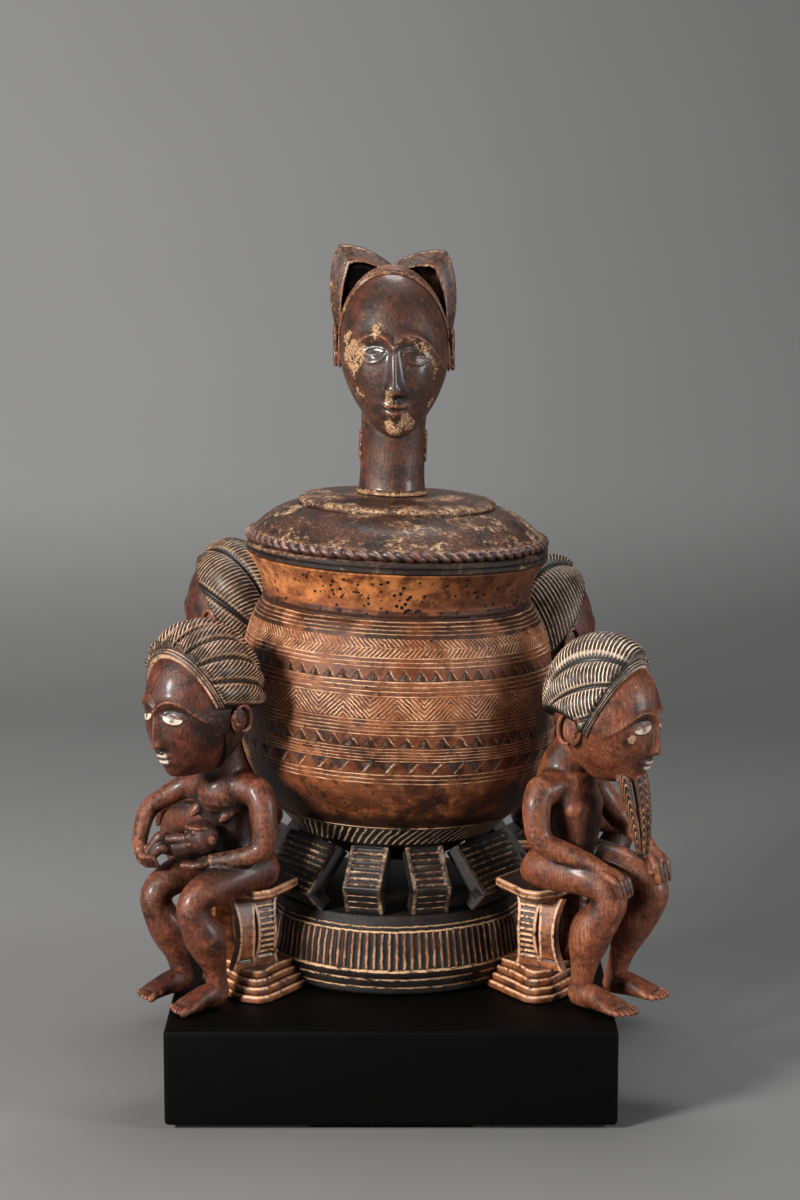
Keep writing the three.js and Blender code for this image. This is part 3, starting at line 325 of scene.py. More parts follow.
def seated(azimuth):
    """Sends seat coordinates (out, side, up from the foot of the sculpture) to the part's frame."""
    a = math.radians(azimuth)
    out, side = np.array([math.sin(a), -math.cos(a), 0]), np.array([math.cos(a), math.sin(a), 0])
    lift = np.array([0, 0, FOOT_Z])
    return lambda p: p[:, :1] * out + p[:, 1:2] * side + p[:, 2:] * np.array([0, 0, 1.0]) + lift


def write_mark(mesh, name, values):
    """Gives every point of a mesh a named value."""
    layer = mesh.attributes.new(name, "FLOAT", "POINT")
    layer.data.foreach_set("value", values.astype(np.float32))


def to_mesh(skin, name):
    """The skin as a Blender mesh in metres, smooth shaded, with its UV map and point values."""
    mesh = bpy.data.meshes.new(name)
    corners = np.concatenate([skin.quads.ravel(), skin.tris.ravel()])
    sizes = np.concatenate([np.full(len(skin.quads), 4), np.full(len(skin.tris), 3)])
    mesh.vertices.add(len(skin.points))
    mesh.vertices.foreach_set("co", (skin.points * MM).ravel())
    mesh.loops.add(len(corners))
    mesh.loops.foreach_set("vertex_index", corners.astype(np.int32))
    mesh.polygons.add(len(sizes))
    starts = np.concatenate([[0], np.cumsum(sizes)[:-1]])
    mesh.polygons.foreach_set("loop_start", starts.astype(np.int32))
    layer = mesh.uv_layers.new(name="pattern")
    layer.data.foreach_set("uv", np.concatenate([skin.quad_uv.ravel(), skin.tri_uv.ravel()]))
    for name, values in skin.marks.items():
        write_mark(mesh, name, values)
    mesh.update(calc_edges=True)
    mesh.validate()
    mesh.shade_smooth()
    return mesh


def add_piece(shape, name, material, body, nodes):
    """Shows a skin or a mesh as one piece that rides on a body, takes a finish and stands for
    CAD nodes."""
    mesh = to_mesh(shape, name) if isinstance(shape, Skin) else shape
    piece = bpy.data.objects.new(name, mesh)
    bpy.context.scene.collection.objects.link(piece)
    mesh.materials.clear()
    mesh.materials.append(material)
    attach(piece, body)
    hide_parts(*nodes)
    return piece


def sharpened(piece, degrees):
    """Keeps the piece's hard edges hard under smooth shading."""
    piece.data.set_sharp_from_angle(angle=math.radians(degrees))


def carved(skins, name, grain, rounds):
    """One carved body from overlapping skins: a voxel remesh with cells of grain metres joins
    them, and rounds of smoothing ease the joins, as sanding would."""
    rough = bpy.data.objects.new(name, to_mesh(merged(skins), name))
    bpy.context.scene.collection.objects.link(rough)
    remesh = rough.modifiers.new("join", "REMESH")
    remesh.mode = "VOXEL"
    remesh.voxel_size = grain
    ease = rough.modifiers.new("ease", "SMOOTH")
    ease.factor = 0.5
    ease.iterations = rounds
    bpy.context.view_layer.update()
    depsgraph = bpy.context.evaluated_depsgraph_get()
    mesh = bpy.data.meshes.new_from_object(rough.evaluated_get(depsgraph))
    mesh.name = name
    bpy.data.objects.remove(rough)
    mark_relief(mesh)
    mark_form(mesh)
    mesh.shade_smooth()
    return mesh


def marked_head(mesh):
    """The mesh of a head with its relief and form written at each point."""
    mark_relief(mesh, 3, 5.0)
    mark_form(mesh, 60, 0.2)
    return mesh


def mesh_edges(mesh):
    """Points and normals in millimetres, and a function that averages values over neighbours."""
    count = len(mesh.vertices)
    place, normal = np.empty(count * 3), np.empty(count * 3)
    mesh.vertices.foreach_get("co", place)
    mesh.vertices.foreach_get("normal", normal)
    place, normal = place.reshape(-1, 3) / MM, normal.reshape(-1, 3)
    edges = np.empty(len(mesh.edges) * 2, np.int64)
    mesh.edges.foreach_get("vertices", edges)
    a, b = edges.reshape(-1, 2).T
    degree = np.maximum(np.bincount(a, minlength=count) + np.bincount(b, minlength=count), 1)

    def spread(values):
        return (np.bincount(a, values[b], count) + np.bincount(b, values[a], count)) / degree

    return place, normal, spread


def mark_form(mesh, rounds=50, strength=0.14):
    """Writes 'form' at each point, 0.5 on flats: how far the point stands out of a surface that
    many rounds of averaging have eased. Limbs and brows lie above it, folds between them below."""
    place, normal, spread = mesh_edges(mesh)
    middle = place
    for _ in range(rounds):
        middle = np.stack([spread(middle[:, k]) for k in range(3)], 1)
    form = np.einsum("ij,ij->i", place - middle, normal)
    write_mark(mesh, "form", np.clip(0.5 + strength * form, 0, 1))


def mark_relief(mesh, rounds=4, strength=9.0):
    """Writes 'relief' at each point: 0.5 on flats, more on ridges, less in hollows. It is how far
    the point stands out of its neighbours' middle along the normal, averaged a few times."""
    place, normal, spread = mesh_edges(mesh)
    middle = np.stack([spread(place[:, k]) for k in range(3)], 1)
    relief = np.einsum("ij,ij->i", place - middle, normal)
    for _ in range(rounds):
        relief = (relief + spread(relief)) / 2
    write_mark(mesh, "relief", np.clip(0.5 + strength * relief, 0, 1))


# FINISHES

def tone(values):
    """Red, green and blue screen values from 0 to 255, as linear red, green, blue and 1."""
    share = np.array(values) / 255
    line = np.where(share <= 0.04045, share / 12.92, ((share + 0.055) / 1.055) ** 2.4)
    return (*(float(v) for v in line), 1.0)


class Wire:
    """A number inside a material. Python arithmetic on it adds the Math nodes."""

    def __init__(self, tree, socket):
        self.tree, self.socket = tree, socket

    def maths(self, operation, *values):
        node = self.tree.nodes.new("ShaderNodeMath")
        node.operation = operation
        for plug, value in zip(node.inputs, values):
            if isinstance(value, Wire):
                self.tree.links.new(value.socket, plug)
            else:
                plug.default_value = value
        return Wire(self.tree, node.outputs[0])

    def __add__(self, other):
        return self.maths("ADD", self, other)

    def __radd__(self, other):
        return self.maths("ADD", other, self)

    def __sub__(self, other):
        return self.maths("SUBTRACT", self, other)

    def __rsub__(self, other):
        return self.maths("SUBTRACT", other, self)

    def __mul__(self, other):
        return self.maths("MULTIPLY", self, other)

    def __rmul__(self, other):
        return self.maths("MULTIPLY", other, self)

    def __truediv__(self, other):
        return self.maths("DIVIDE", self, other)

    def size(self):
        return self.maths("ABSOLUTE", self)

    def most(self, other):
        return self.maths("MAXIMUM", self, other)

    def least(self, other):
        return self.maths("MINIMUM", self, other)

    def ramp(self, low, high):
        """0 below low, 1 above high, an S-curve between."""
        node = self.tree.nodes.new("ShaderNodeMapRange")
        node.interpolation_type = "SMOOTHSTEP"
        self.tree.links.new(self.socket, node.inputs["Value"])
        node.inputs["From Min"].default_value = low
        node.inputs["From Max"].default_value = high
        return Wire(self.tree, node.outputs["Result"])

    def between(self, low, high, edge=0.4):
        """1 between low and high, fading over edge outside them."""
        return self.ramp(low - edge, low) * (1 - self.ramp(high, high + edge))

    def off_whole(self):
        """Distance to the nearest whole number, 0 to 0.5."""
        return 0.5 - ((self - self.maths("FLOOR", self)) - 0.5).size()

    def line(self, half, soft):
        """1 where the number is within half of 0, fading over soft."""
        return 1 - self.size().ramp(half, half + soft)


class Finish:
    """One material being put together: its node tree, its shader and the values it reads."""

    def __init__(self, name):
        self.material = bpy.data.materials.new(name)
        self.material.use_nodes = True
        self.tree = self.material.node_tree
        self.shader = self.tree.nodes["Principled BSDF"]
        self.place = self.tree.nodes.new("ShaderNodeTexCoord").outputs["Object"]
        self.colour = None

    def wire(self, socket):
        return Wire(self.tree, socket)

    def split(self, socket):
        node = self.tree.nodes.new("ShaderNodeSeparateXYZ")
        self.tree.links.new(socket, node.inputs[0])
        return [self.wire(out) for out in node.outputs]

    def pattern(self):
        """The piece's own pattern coordinates, u and v."""
        node = self.tree.nodes.new("ShaderNodeUVMap")
        node.uv_map = "pattern"
        return self.split(node.outputs[0])[:2]

    def spot(self):
        """Object coordinates in millimetres."""
        return [part * (1 / MM) for part in self.split(self.place)]

    def noise(self, size, detail, rough=0.55, stretch=None, shift=0.0):
        """Smooth random values from 0 to 1 with features of about size millimetres, stretched
        by a factor along each axis."""
        socket = self.place
        if stretch or shift:
            node = self.tree.nodes.new("ShaderNodeMapping")
            node.inputs["Location"].default_value = (shift, shift, shift)
            node.inputs["Scale"].default_value = [1 / s for s in (stretch or (1, 1, 1))]
            self.tree.links.new(socket, node.inputs[0])
            socket = node.outputs[0]
        node = self.tree.nodes.new("ShaderNodeTexNoise")
        node.inputs["Scale"].default_value = 1 / (size * MM)
        node.inputs["Detail"].default_value = detail
        node.inputs["Roughness"].default_value = rough
        self.tree.links.new(socket, node.inputs["Vector"])
        return self.wire(node.outputs[0])

    def cells(self, size):
        """Distance to the nearest of scattered points, in cells of about size millimetres."""
        node = self.tree.nodes.new("ShaderNodeTexVoronoi")
        node.inputs["Scale"].default_value = 1 / (size * MM)
        self.tree.links.new(self.place, node.inputs["Vector"])
        return self.wire(node.outputs["Distance"])

    def mark(self, name):
        """A value that the mesh carries at each point."""
        node = self.tree.nodes.new("ShaderNodeAttribute")
        node.attribute_name = name
        return self.wire(node.outputs["Fac"])

    def blend(self, a, b, share):
        """Colour a where share is 0, colour b where it is 1. A colour is three screen values,
        four linear ones or a socket."""
        node = self.tree.nodes.new("ShaderNodeMix")
        node.data_type = "RGBA"
        self.tree.links.new(share.socket, node.inputs[0])
        for plug, value in ((node.inputs[6], a), (node.inputs[7], b)):
            if isinstance(value, tuple):
                plug.default_value = value if len(value) == 4 else tone(value)
            else:
                self.tree.links.new(value, plug)
        return node.outputs[2]

    def paint(self, colour, share):
        """Lays a colour over the one so far, as thickly as share says."""
        self.colour = self.blend(self.colour, colour, share)

    def done(self, roughness, height=None, depth=0.3, **plain):
        """Plugs the colour, a roughness and a bump of the given depth in millimetres into the
        shader; the other values are set on its own sockets."""
        self.tree.links.new(self.colour, self.shader.inputs["Base Color"])
        if isinstance(roughness, Wire):
            self.tree.links.new(roughness.socket, self.shader.inputs["Roughness"])
        else:
            self.shader.inputs["Roughness"].default_value = roughness
        if height is not None:
            bump = self.tree.nodes.new("ShaderNodeBump")
            bump.inputs["Distance"].default_value = depth * MM
            self.tree.links.new(height.socket, bump.inputs["Height"])
            self.tree.links.new(bump.outputs[0], self.shader.inputs["Normal"])
        for name, value in plain.items():
            self.shader.inputs[name.replace("_", " ")].default_value = value
        return self.material


def polished(f, dark, middle, light, size):
    """The mottled ground of a polished, handled wood: broad patches between three colours, with
    a fine upright grain. Returns the grain."""
    patches = f.noise(size, 4.0, 0.6)
    grain = f.noise(1.6, 2.0, 0.5, stretch=(1, 1, 9))
    f.colour = f.blend(dark, middle, patches.ramp(0.32, 0.55))
    f.paint(light, (patches * 0.6 + grain * 0.4).ramp(0.52, 0.72))
    return grain


def black_paint():
    """Satin black paint on a block: faint brush ripple, dust and small rubs."""
    f = Finish("black_paint")
    ripple = f.noise(9, 4.0, 0.6, stretch=(4, 4, 1))
    dust = f.noise(1.1, 3.0, 0.7)
    rub = f.noise(26, 3.0).ramp(0.5, 0.75) * dust.ramp(0.5, 0.68)
    f.colour = f.blend((2, 2, 2), (15, 15, 14), rub * 0.5)
    return f.done(0.5 + 0.2 * ripple, ripple + 0.4 * dust, 0.12, Specular_IOR_Level=0.07)


def felt():
    f = Finish("felt")
    fuzz = f.noise(0.5, 2.0, 0.7)
    f.colour = f.blend((70, 54, 42), (112, 90, 72), fuzz.ramp(0.35, 0.7))
    return f.done(0.95, fuzz, 0.35, Sheen_Weight=0.4)


def pin_steel():
    f = Finish("steel")
    turned = f.noise(0.8, 2.0, 0.5, stretch=(6, 6, 1))
    f.colour = f.blend((150, 150, 148), (196, 196, 194), turned)
    return f.done(0.25 + 0.2 * turned, turned, 0.03, Metallic=1.0)


def blackened(f):
    """The pedestal's blackened ground, with brown showing through in specks."""
    patches = f.noise(7, 4.0, 0.65)
    f.colour = f.blend((9, 7, 6), (34, 22, 16), patches.ramp(0.42, 0.72))
    f.paint((96, 66, 48), f.noise(1.3, 6.0, 0.8).ramp(0.57, 0.68) * 0.6)


def foot_wood():
    """Blackened foot with rubbed flutes and broken light rings."""
    f = Finish("foot_wood")
    u, v = f.pattern()
    wander = f.noise(3.2, 2.0)
    chips = f.noise(1.1, 5.0, 0.75)
    stroke = (u * FLUTES + (wander - 0.5) * 0.35).off_whole()
    flutes = (1 - (stroke + (chips - 0.5) * 0.2).ramp(0.12, 0.22)) * v.between(15.6, 33.4, 0.8)
    height = v + (wander - 0.5) * 1.2
    rings = ((height - 5.0).line(0.35, 0.35)).most((height - 9.7).line(0.42, 0.35))
    rings = rings.most((height - 14.3).line(0.5, 0.4)).most((height - 34.4).line(0.3, 0.3))
    rings = rings.most((height - 36.7).line(0.2, 0.3) * 0.7)
    broken = rings * f.noise(9, 4.0, 0.7, stretch=(1, 1, 0.3)).ramp(0.36, 0.5)
    worn = f.blend((104, 62, 38), (172, 124, 90), f.noise(11, 4.0, 0.65).ramp(0.38, 0.64))
    blackened(f)
    f.paint(worn, flutes * chips.ramp(0.3, 0.52))
    f.paint((198, 158, 118), broken * chips.ramp(0.3, 0.5))
    relief = flutes * 0.9 + rings * 0.5 + chips * 0.35
    return f.done(0.46 + 0.25 * chips, relief, 0.7, Specular_IOR_Level=0.3)


def strut_wood():
    """Blackened struts whose raised rungs and rails are rubbed light."""
    f = Finish("strut_wood")
    chips = f.noise(1.4, 4.0, 0.7)
    uneven = 0.15 + 0.85 * f.noise(4, 4.0, 0.7).ramp(0.4, 0.56)
    rubbed = f.mark("rubbed") * uneven * chips.ramp(0.34, 0.52)
    worn = f.blend((112, 76, 52), (190, 154, 120), f.noise(6, 3.0).ramp(0.4, 0.62))
    blackened(f)
    f.paint(worn, rubbed)
    return f.done(0.4 + 0.25 * chips, chips, 0.25, Coat_Weight=0.12, Coat_Roughness=0.3)


def collar_wood():
    """Black collar with slanting light strokes and a light upper edge."""
    f = Finish("collar_wood")
    u, v = f.pattern()
    wander = f.noise(6, 2.0)
    chips = f.noise(1.3, 4.0, 0.7)
    slant = (u * 92 - v * 0.21 + (wander - 0.5) * 0.5).off_whole()
    strokes = (1 - (slant + (chips - 0.5) * 0.16).ramp(0.1, 0.2)) * v.between(2.0, 11.4, 0.5)
    edge = (v - 12.6 + (wander - 0.5) * 0.8).line(0.3, 0.3) * f.noise(12, 3.0).ramp(0.38, 0.5)
    blackened(f)
    f.paint((190, 160, 128), strokes * chips.ramp(0.3, 0.54) * 0.95)
    f.paint((170, 130, 98), edge)
    return f.done(0.36 + 0.25 * chips, strokes * -0.7 + chips * 0.2, 0.45, Coat_Weight=0.15,
                  Coat_Roughness=0.3)


# The bowl's cut bands, as heights above its base: groups of level lines (low, high, lines), a
# herringbone, nested zigzags, and rows of triangles (number, low, high, pointing up)
LINE_BANDS = ((110.2, 116.0, 4), (94.4, 98.6, 3), (79.9, 87.0, 4), (60.2, 67.6, 5),
              (46.6, 53.0, 5), (34.6, 39.2, 3))
HERRING_STROKES, HERRING_SPINE, HERRING_BAND = 196, 103.4, (98.9, 107.9)
ZIGZAGS, ZIGZAG_BAND = 19, (68.4, 79.2)
TRIANGLE_ROWS = ((64, 87.6, 93.0, True), (56, 53.9, 59.2, True), (44, 40.0, 45.8, False))


def chips_row(u, v, count, low, high, upright):
    """A row of cut triangles: count to a turn, between two heights, pointing up or down. Returns
    how deep a point is in its triangle, its lit right edge, and its left half."""
    across = u * count - (u * count).maths("FLOOR", u * count) - 0.5
    rise = (v - low) / (high - low)
    if not upright:
        rise = 1 - rise
    room = (0.47 - 0.47 * rise - across.size()) * rise.between(0.0, 1.0, 0.04)
    edge = (across - 0.43 + 0.43 * rise).line(0.03, 0.05) * rise.between(0.1, 0.95, 0.08)
    return room, edge, (0 - across).ramp(-0.02, 0.06)


def bowl_wood():
    """Orange-brown bowl: the cut bands follow the height above the bowl's base. Light cut lines,
    a two-row herringbone, three rows of chip triangles and a band of nested zigzags."""
    f = Finish("bowl_wood")
    u, height = f.pattern()
    wander = f.noise(30, 2.0, stretch=(1, 1, 1.5))
    slight = f.noise(3, 2.0)
    chips = f.noise(0.9, 5.0, 0.75)
    v = height + (wander - 0.5) * 1.5 + (slight - 0.5) * 0.35

    def lines(low, high, count):
        pitch = (high - low) / max(count - 1, 1)
        near = ((v - low) / pitch).off_whole() + (chips - 0.5) * 0.12
        return (1 - near.ramp(0.1, 0.22)) * v.between(low - 0.35 * pitch, high + 0.35 * pitch, 0.1)

    groups = lines(*LINE_BANDS[0])
    for band in LINE_BANDS[1:]:
        groups = groups.most(lines(*band))
    drift = u + (slight - 0.5) * 0.004
    braid = drift * HERRING_STROKES + (v - HERRING_SPINE).size() * 0.4 + (chips - 0.5) * 0.16
    herring = (1 - braid.off_whole().ramp(0.12, 0.25)) * v.between(*HERRING_BAND, 0.2)
    herring = herring.most((v - HERRING_SPINE).line(0.1, 0.25) * 0.7)
    tooth = (drift * ZIGZAGS).off_whole() * 2
    zigzag = ((v + tooth * 13.5) / 2.45).off_whole() + (chips - 0.5) * 0.14
    nested = (1 - zigzag.ramp(0.13, 0.26)) * v.between(*ZIGZAG_BAND, 0.2)
    rows = [chips_row(drift, v, *row) for row in TRIANGLE_ROWS]
    cut = groups.most(herring).most(nested)
    room = rows[0][0].most(rows[1][0]).most(rows[2][0])
    edges = rows[0][1].most(rows[1][1]).most(rows[2][1])
    worn = f.noise(9, 5.0, 0.7, shift=3.1, stretch=(1, 1, 0.5)).ramp(0.36, 0.52)
    light = cut * (0.22 + 0.78 * worn) * chips.ramp(0.3, 0.5)
    light = light.most(edges * worn * chips.ramp(0.38, 0.56) * 0.8)

    broad = f.noise(34, 4.0, 0.6)
    f.colour = f.blend((74, 38, 23), (134, 76, 44), broad.ramp(0.34, 0.6))
    f.paint((166, 102, 62), f.noise(9, 5.0, 0.7).ramp(0.52, 0.7) * 0.8)
    streak = f.noise(2.2, 4.0, 0.7, stretch=(6, 6, 1))
    f.paint((52, 28, 18), streak.ramp(0.52, 0.66) * 0.6)
    carved_zone = v.between(33, 109, 3)
    nicks = f.noise(0.9, 5.0, 0.8, shift=14.0)
    f.paint((40, 21, 13), nicks.ramp(0.56, 0.66) * 0.6)
    scrapes = f.noise(1.0, 4.0, 0.75, stretch=(9, 9, 1), shift=17.0)
    f.paint((196, 146, 108), scrapes.ramp(0.58, 0.68) * carved_zone * 0.45)
    pale = f.noise(15, 5.0, 0.7, shift=1.7).ramp(0.46, 0.64) * carved_zone
    f.paint((158, 106, 72), pale * chips.ramp(0.36, 0.6) * 0.7)
    between_cuts = carved_zone * (1 - cut) * f.noise(7, 4.0, 0.7, shift=7.7).ramp(0.42, 0.6)
    f.paint((66, 33, 20), between_cuts * 0.62)
    rim_zone = v.ramp(121, 124)
    x = f.spot()[0]
    f.paint((64, 32, 19), rim_zone * (x + (broad - 0.5) * 90).ramp(-20, 34) * 0.92)
    f.paint((190, 119, 66),
            rim_zone * f.noise(10, 5.0, 0.65, shift=2.6).ramp(0.4, 0.6)
            * (0.9 - 0.75 * x.ramp(-14, 44))
            * (0.3 + 0.7 * (v + (broad - 0.5) * 26).ramp(123, 131)))
    deep = v.between(87.4, 93.6).most(v.between(53.6, 59.6)).most(v.between(39.8, 46.0))
    f.paint((84, 40, 22), deep * 0.5)
    soot = f.noise(17, 5.0, 0.7, shift=5.3).ramp(0.5, 0.64)
    burnt_neck = v.between(108.4, 121.0, 1.0) * f.noise(20, 5.0, 0.65).ramp(0.34, 0.56)
    black = (soot * v.between(12, 62, 6)).most(burnt_neck)
    black = black.most(1 - v.ramp(10.5, 17.5)).most((v - 118.0).line(1.2, 1.0))
    black = black.most(f.noise(24, 5.0, 0.7, shift=11.0).ramp(0.56, 0.68) * carved_zone * 0.8)
    # Painted shade: the lowest part of the bowl, under the belly, is darkened in noisy patches.
    below = f.noise(12, 5.0, 0.7, shift=6.1).ramp(0.34, 0.54)
    f.paint((52, 27, 17), (1 - v.ramp(22, 36)) * below * 0.8)
    f.paint((24, 15, 11), black * 0.85)
    inside = room.ramp(0.02, 0.07)
    half = rows[0][2] * rows[0][0].ramp(0.06, 0.1) + rows[1][2] * rows[1][0].ramp(0.06, 0.1)
    f.paint((36, 22, 15), inside * (0.42 + 0.45 * worn))
    f.paint((150, 128, 112), half * worn * chips.ramp(0.4, 0.6) * 0.7)
    light_tone = f.blend((168, 112, 76), (218, 172, 134), f.noise(14, 4.0, 0.65).ramp(0.4, 0.62))
    f.paint(light_tone, light * (1 - black * 0.4) * 0.95)
    swarm = f.noise(15, 3.0, 0.6, shift=8.0).ramp(0.44, 0.52) * v.between(119, 138, 1.5)
    worm = (1 - f.cells(3.6).ramp(0.22, 0.3)) * swarm
    worm = worm.most((1 - f.cells(7.5).ramp(0.055, 0.09)) * v.ramp(14, 20))
    f.paint((18, 12, 11), worm)
    relief = cut * -0.6 - room * 3.0 - worm + edges * 0.2 + chips * 0.3 + slight * 0.2
    gloss = 0.28 + 0.22 * chips + 0.2 * cut
    return f.done(gloss, relief, 0.8, Specular_IOR_Level=0.22)


def scuffed(f, amount, size=5.0):
    """Tan rubs on dark polish: fine level streaks, broken up and gathered in patches."""
    gather = f.noise(size * 5, 3.0, 0.6, shift=2.2)
    broken = f.noise(size, 7.0, 0.8, shift=6.6, stretch=(2, 2, 1))
    fine = f.noise(0.9, 5.0, 0.8, stretch=(2.5, 2.5, 1))
    mixed = gather * 0.4 + broken * 0.4 + fine * 0.2
    return mixed.ramp(0.58 - amount, 0.64 - amount) * fine.ramp(0.4, 0.52)


def lid_wood():
    """Dark brown lid with tan scuffs, thicker on the disc's edge and the rope."""
    f = Finish("lid_wood")
    grain = polished(f, (28, 16, 11), (58, 33, 23), (90, 55, 39), 14)
    ridge = f.mark("ridge")
    rub = scuffed(f, 0.075).most(ridge * scuffed(f, 0.12, 3.0))
    tan = f.blend((150, 106, 74), (204, 164, 128), f.noise(5, 3.0).ramp(0.4, 0.6))
    f.paint(tan, rub * 0.9)
    specks = f.noise(1.1, 6.0, 0.85, shift=9.0).ramp(0.57, 0.64)
    f.paint((186, 148, 118), specks * 0.6)
    band = 1 - f.spot()[2].ramp(281.4, 283.0)
    f.paint((26, 17, 14), band * 0.9 * f.noise(12, 4.0, 0.6).ramp(0.3, 0.5))
    f.paint((14, 10, 9), f.mark("hollow") * 0.95)
    chips = f.noise(1.3, 5.0, 0.75)
    return f.done(0.38 + 0.24 * chips + 0.2 * rub, chips * 0.6 + grain * 0.5 + rub * 0.4, 0.4,
                  Specular_IOR_Level=0.3, Coat_Weight=0.12, Coat_Roughness=0.2)


def rope_wood():
    """Red-brown rope lobes, dark between them, with a painted highlight along one side of each
    lobe.
    """
    f = Finish("rope_wood")
    grain = polished(f, (38, 19, 14), (78, 42, 32), (112, 66, 52), 9)
    chips = f.noise(1.2, 5.0, 0.75)
    # Painted highlight: a pale streak along the lit side of each lobe, where the rope marks
    # 'ridge'.
    worn = f.mark("ridge") * (0.35 + 0.65 * f.noise(16, 3.0, 0.6).ramp(0.42, 0.58))
    f.paint((196, 160, 142), worn * chips.ramp(0.3, 0.5) * 0.8)
    f.paint((14, 9, 8), f.mark("hollow") * 0.95)
    return f.done(0.34 + 0.2 * chips, chips * 0.6 + grain * 0.4, 0.3, Specular_IOR_Level=0.4,
                  Coat_Weight=0.2, Coat_Roughness=0.16)


def skin_wood(name, dark, middle, light, flaky=0.0, whitened=True, red=0.5, painted_shadows=(), coat=0.13):
    """Polished figure wood: ridges rubbed light, hollows darkened as painted shade, ochre flakes
    where the mesh marks them, whitened eyes and lips. Soft dark balls of painted shadow are listed
    as (x, y, z, radius) in mm."""
    f = Finish(name)
    grain = polished(f, dark, middle, light, 11)
    form, relief = f.mark("form"), f.mark("relief")
    veins = f.noise(0.8, 3.0, 0.6, stretch=(1, 1, 14), shift=5.0)
    f.paint(dark, veins.ramp(0.46, 0.6) * 0.55)
    f.paint((118, 50, 34), f.noise(8, 4.0, 0.65, shift=12.0).ramp(0.52, 0.68) * red)
    pits = f.noise(1.5, 6.0, 0.8, shift=15.0)
    f.paint(dark, pits.ramp(0.54, 0.64) * 0.75)
    # Painted shadow: each listed ball darkens the wood inside it, where shadow falls on the figure.
    for x, y, z, radius in painted_shadows:
        off = [(axis - at) / radius for axis, at in zip(f.spot(), (x, y, z))]
        near = 1 - (off[0] * off[0] + off[1] * off[1] + off[2] * off[2]).ramp(0.25, 1.0)
        f.paint((24, 13, 10), near * 0.86)
    # Painted shade: folds and hollows, where the form and relief marks are low, are darkened as
    # shade would darken them.
    folds = (1 - form.ramp(0.36, 0.6)).most((1 - relief.ramp(0.2, 0.47)) * 0.85)
    f.paint((17, 9, 7), folds * 0.88)
    scratch = f.noise(2.4, 5.0, 0.75, shift=3.3)
    rub = (form.ramp(0.62, 0.95) * 0.5).most(relief.ramp(0.56, 0.86)) * scratch.ramp(0.4, 0.62)
    f.paint((158, 98, 66), rub * 0.62)
    fine = f.noise(1.0, 6.0, 0.8)
    dust = f.noise(0.7, 5.0, 0.85, shift=23.0) * 0.6 + f.noise(6, 4.0, 0.7, shift=2.2) * 0.4
    f.paint((168, 112, 78), dust.ramp(0.55, 0.64) * 0.5)
    ragged = f.noise(5, 6.0, 0.75, shift=4.0) * 0.65 + fine * 0.35
    flakes = f.mark("flake") + (ragged - 0.5) * 2.2 - 0.5 + flaky
    flakes = flakes.ramp(0.0, 0.09) * fine.ramp(0.34, 0.5)
    f.paint(f.blend((128, 88, 58), (196, 156, 116), fine.ramp(0.35, 0.65)), flakes * 0.92)
    f.paint((16, 10, 8), f.mark("dark") * (0.6 + 0.4 * fine))
    if whitened:
        white = f.mark("white") * (f.noise(1.6, 4.0, 0.7) * 0.5 + 0.62).least(1.0)
        f.paint((200, 186, 168), white)
    adze = f.noise(3.2, 3.0, 0.55, shift=7.0)
    bump = fine * 0.5 + grain * 0.4 + veins * 0.4 + adze * 0.7 - flakes * 0.8
    return f.done(0.3 + 0.3 * fine + 0.3 * flakes, bump, 0.42, Specular_IOR_Level=0.34,
                  Coat_Weight=coat, Coat_Roughness=0.17)


def hair_wood(name, dark, light):
    """Carved hair: v counts the strands, whose cut edges are rubbed light."""
    f = Finish(name)
    v = f.pattern()[1]
    chips = f.noise(1.1, 5.0, 0.75)
    strand = (v + (f.noise(3, 2.0) - 0.5) * 0.3).off_whole()
    strands = (1 - (strand + (chips - 0.5) * 0.14).ramp(0.1, 0.21)) * f.mark("combed")
    seam = f.mark("seam")
    f.colour = f.blend(dark, (66, 42, 30), f.noise(9, 3.0).ramp(0.45, 0.7) * 0.7)
    f.paint((9, 7, 6), seam * 0.92)
    worn = 0.3 + 0.7 * f.noise(10, 4.0, 0.65, shift=2.0).ramp(0.36, 0.54)
    tint = f.blend(light, dark, f.noise(4, 3.0, shift=6.0).ramp(0.46, 0.7) * 0.55)
    f.paint(tint, strands * worn * chips.ramp(0.28, 0.46) * (1 - seam))
    f.paint(light, f.mark("rim") * worn * chips.ramp(0.34, 0.54) * 0.75)
    relief = strands * 0.9 + f.mark("rim") * 0.4 + chips * 0.3
    return f.done(0.42 + 0.2 * chips, relief, 0.5, Specular_IOR_Level=0.32, Coat_Weight=0.08,
                  Coat_Roughness=0.25)


def stool_wood():
    """Worn orange wood: rubbed steps, painted shade in recesses, greyish seat tops."""
    f = Finish("stool_wood")
    grain = polished(f, (66, 34, 18), (134, 76, 40), (178, 112, 66), 8)
    chips = f.noise(1.3, 5.0, 0.75)
    relief = f.mark("relief")
    streak = f.noise(2.0, 4.0, 0.7, stretch=(5, 5, 1))
    f.paint((44, 23, 14), streak.ramp(0.52, 0.66) * 0.65)
    # Painted shade: hollows, where relief is low, and the joins between steps are darkened.
    f.paint((22, 13, 9), (1 - relief.ramp(0.25, 0.49)).most(f.mark("crevice")) * 0.88)
    f.paint((52, 38, 32), f.mark("seat_top") * 0.85)
    soot = f.noise(9, 5.0, 0.7, shift=4.4).ramp(0.5, 0.62)
    f.paint((30, 18, 12), soot * 0.5)
    rub = f.mark("rubbed") * chips.ramp(0.32, 0.5) * f.noise(4, 4.0, 0.7).ramp(0.36, 0.52)
    f.paint((236, 188, 148), rub * 0.92)
    return f.done(0.36 + 0.22 * chips, chips * 0.6 + grain * 0.4 + streak * 0.4, 0.35,
                  Coat_Weight=0.2, Coat_Roughness=0.28)


# PLINTH AND PEDESTAL

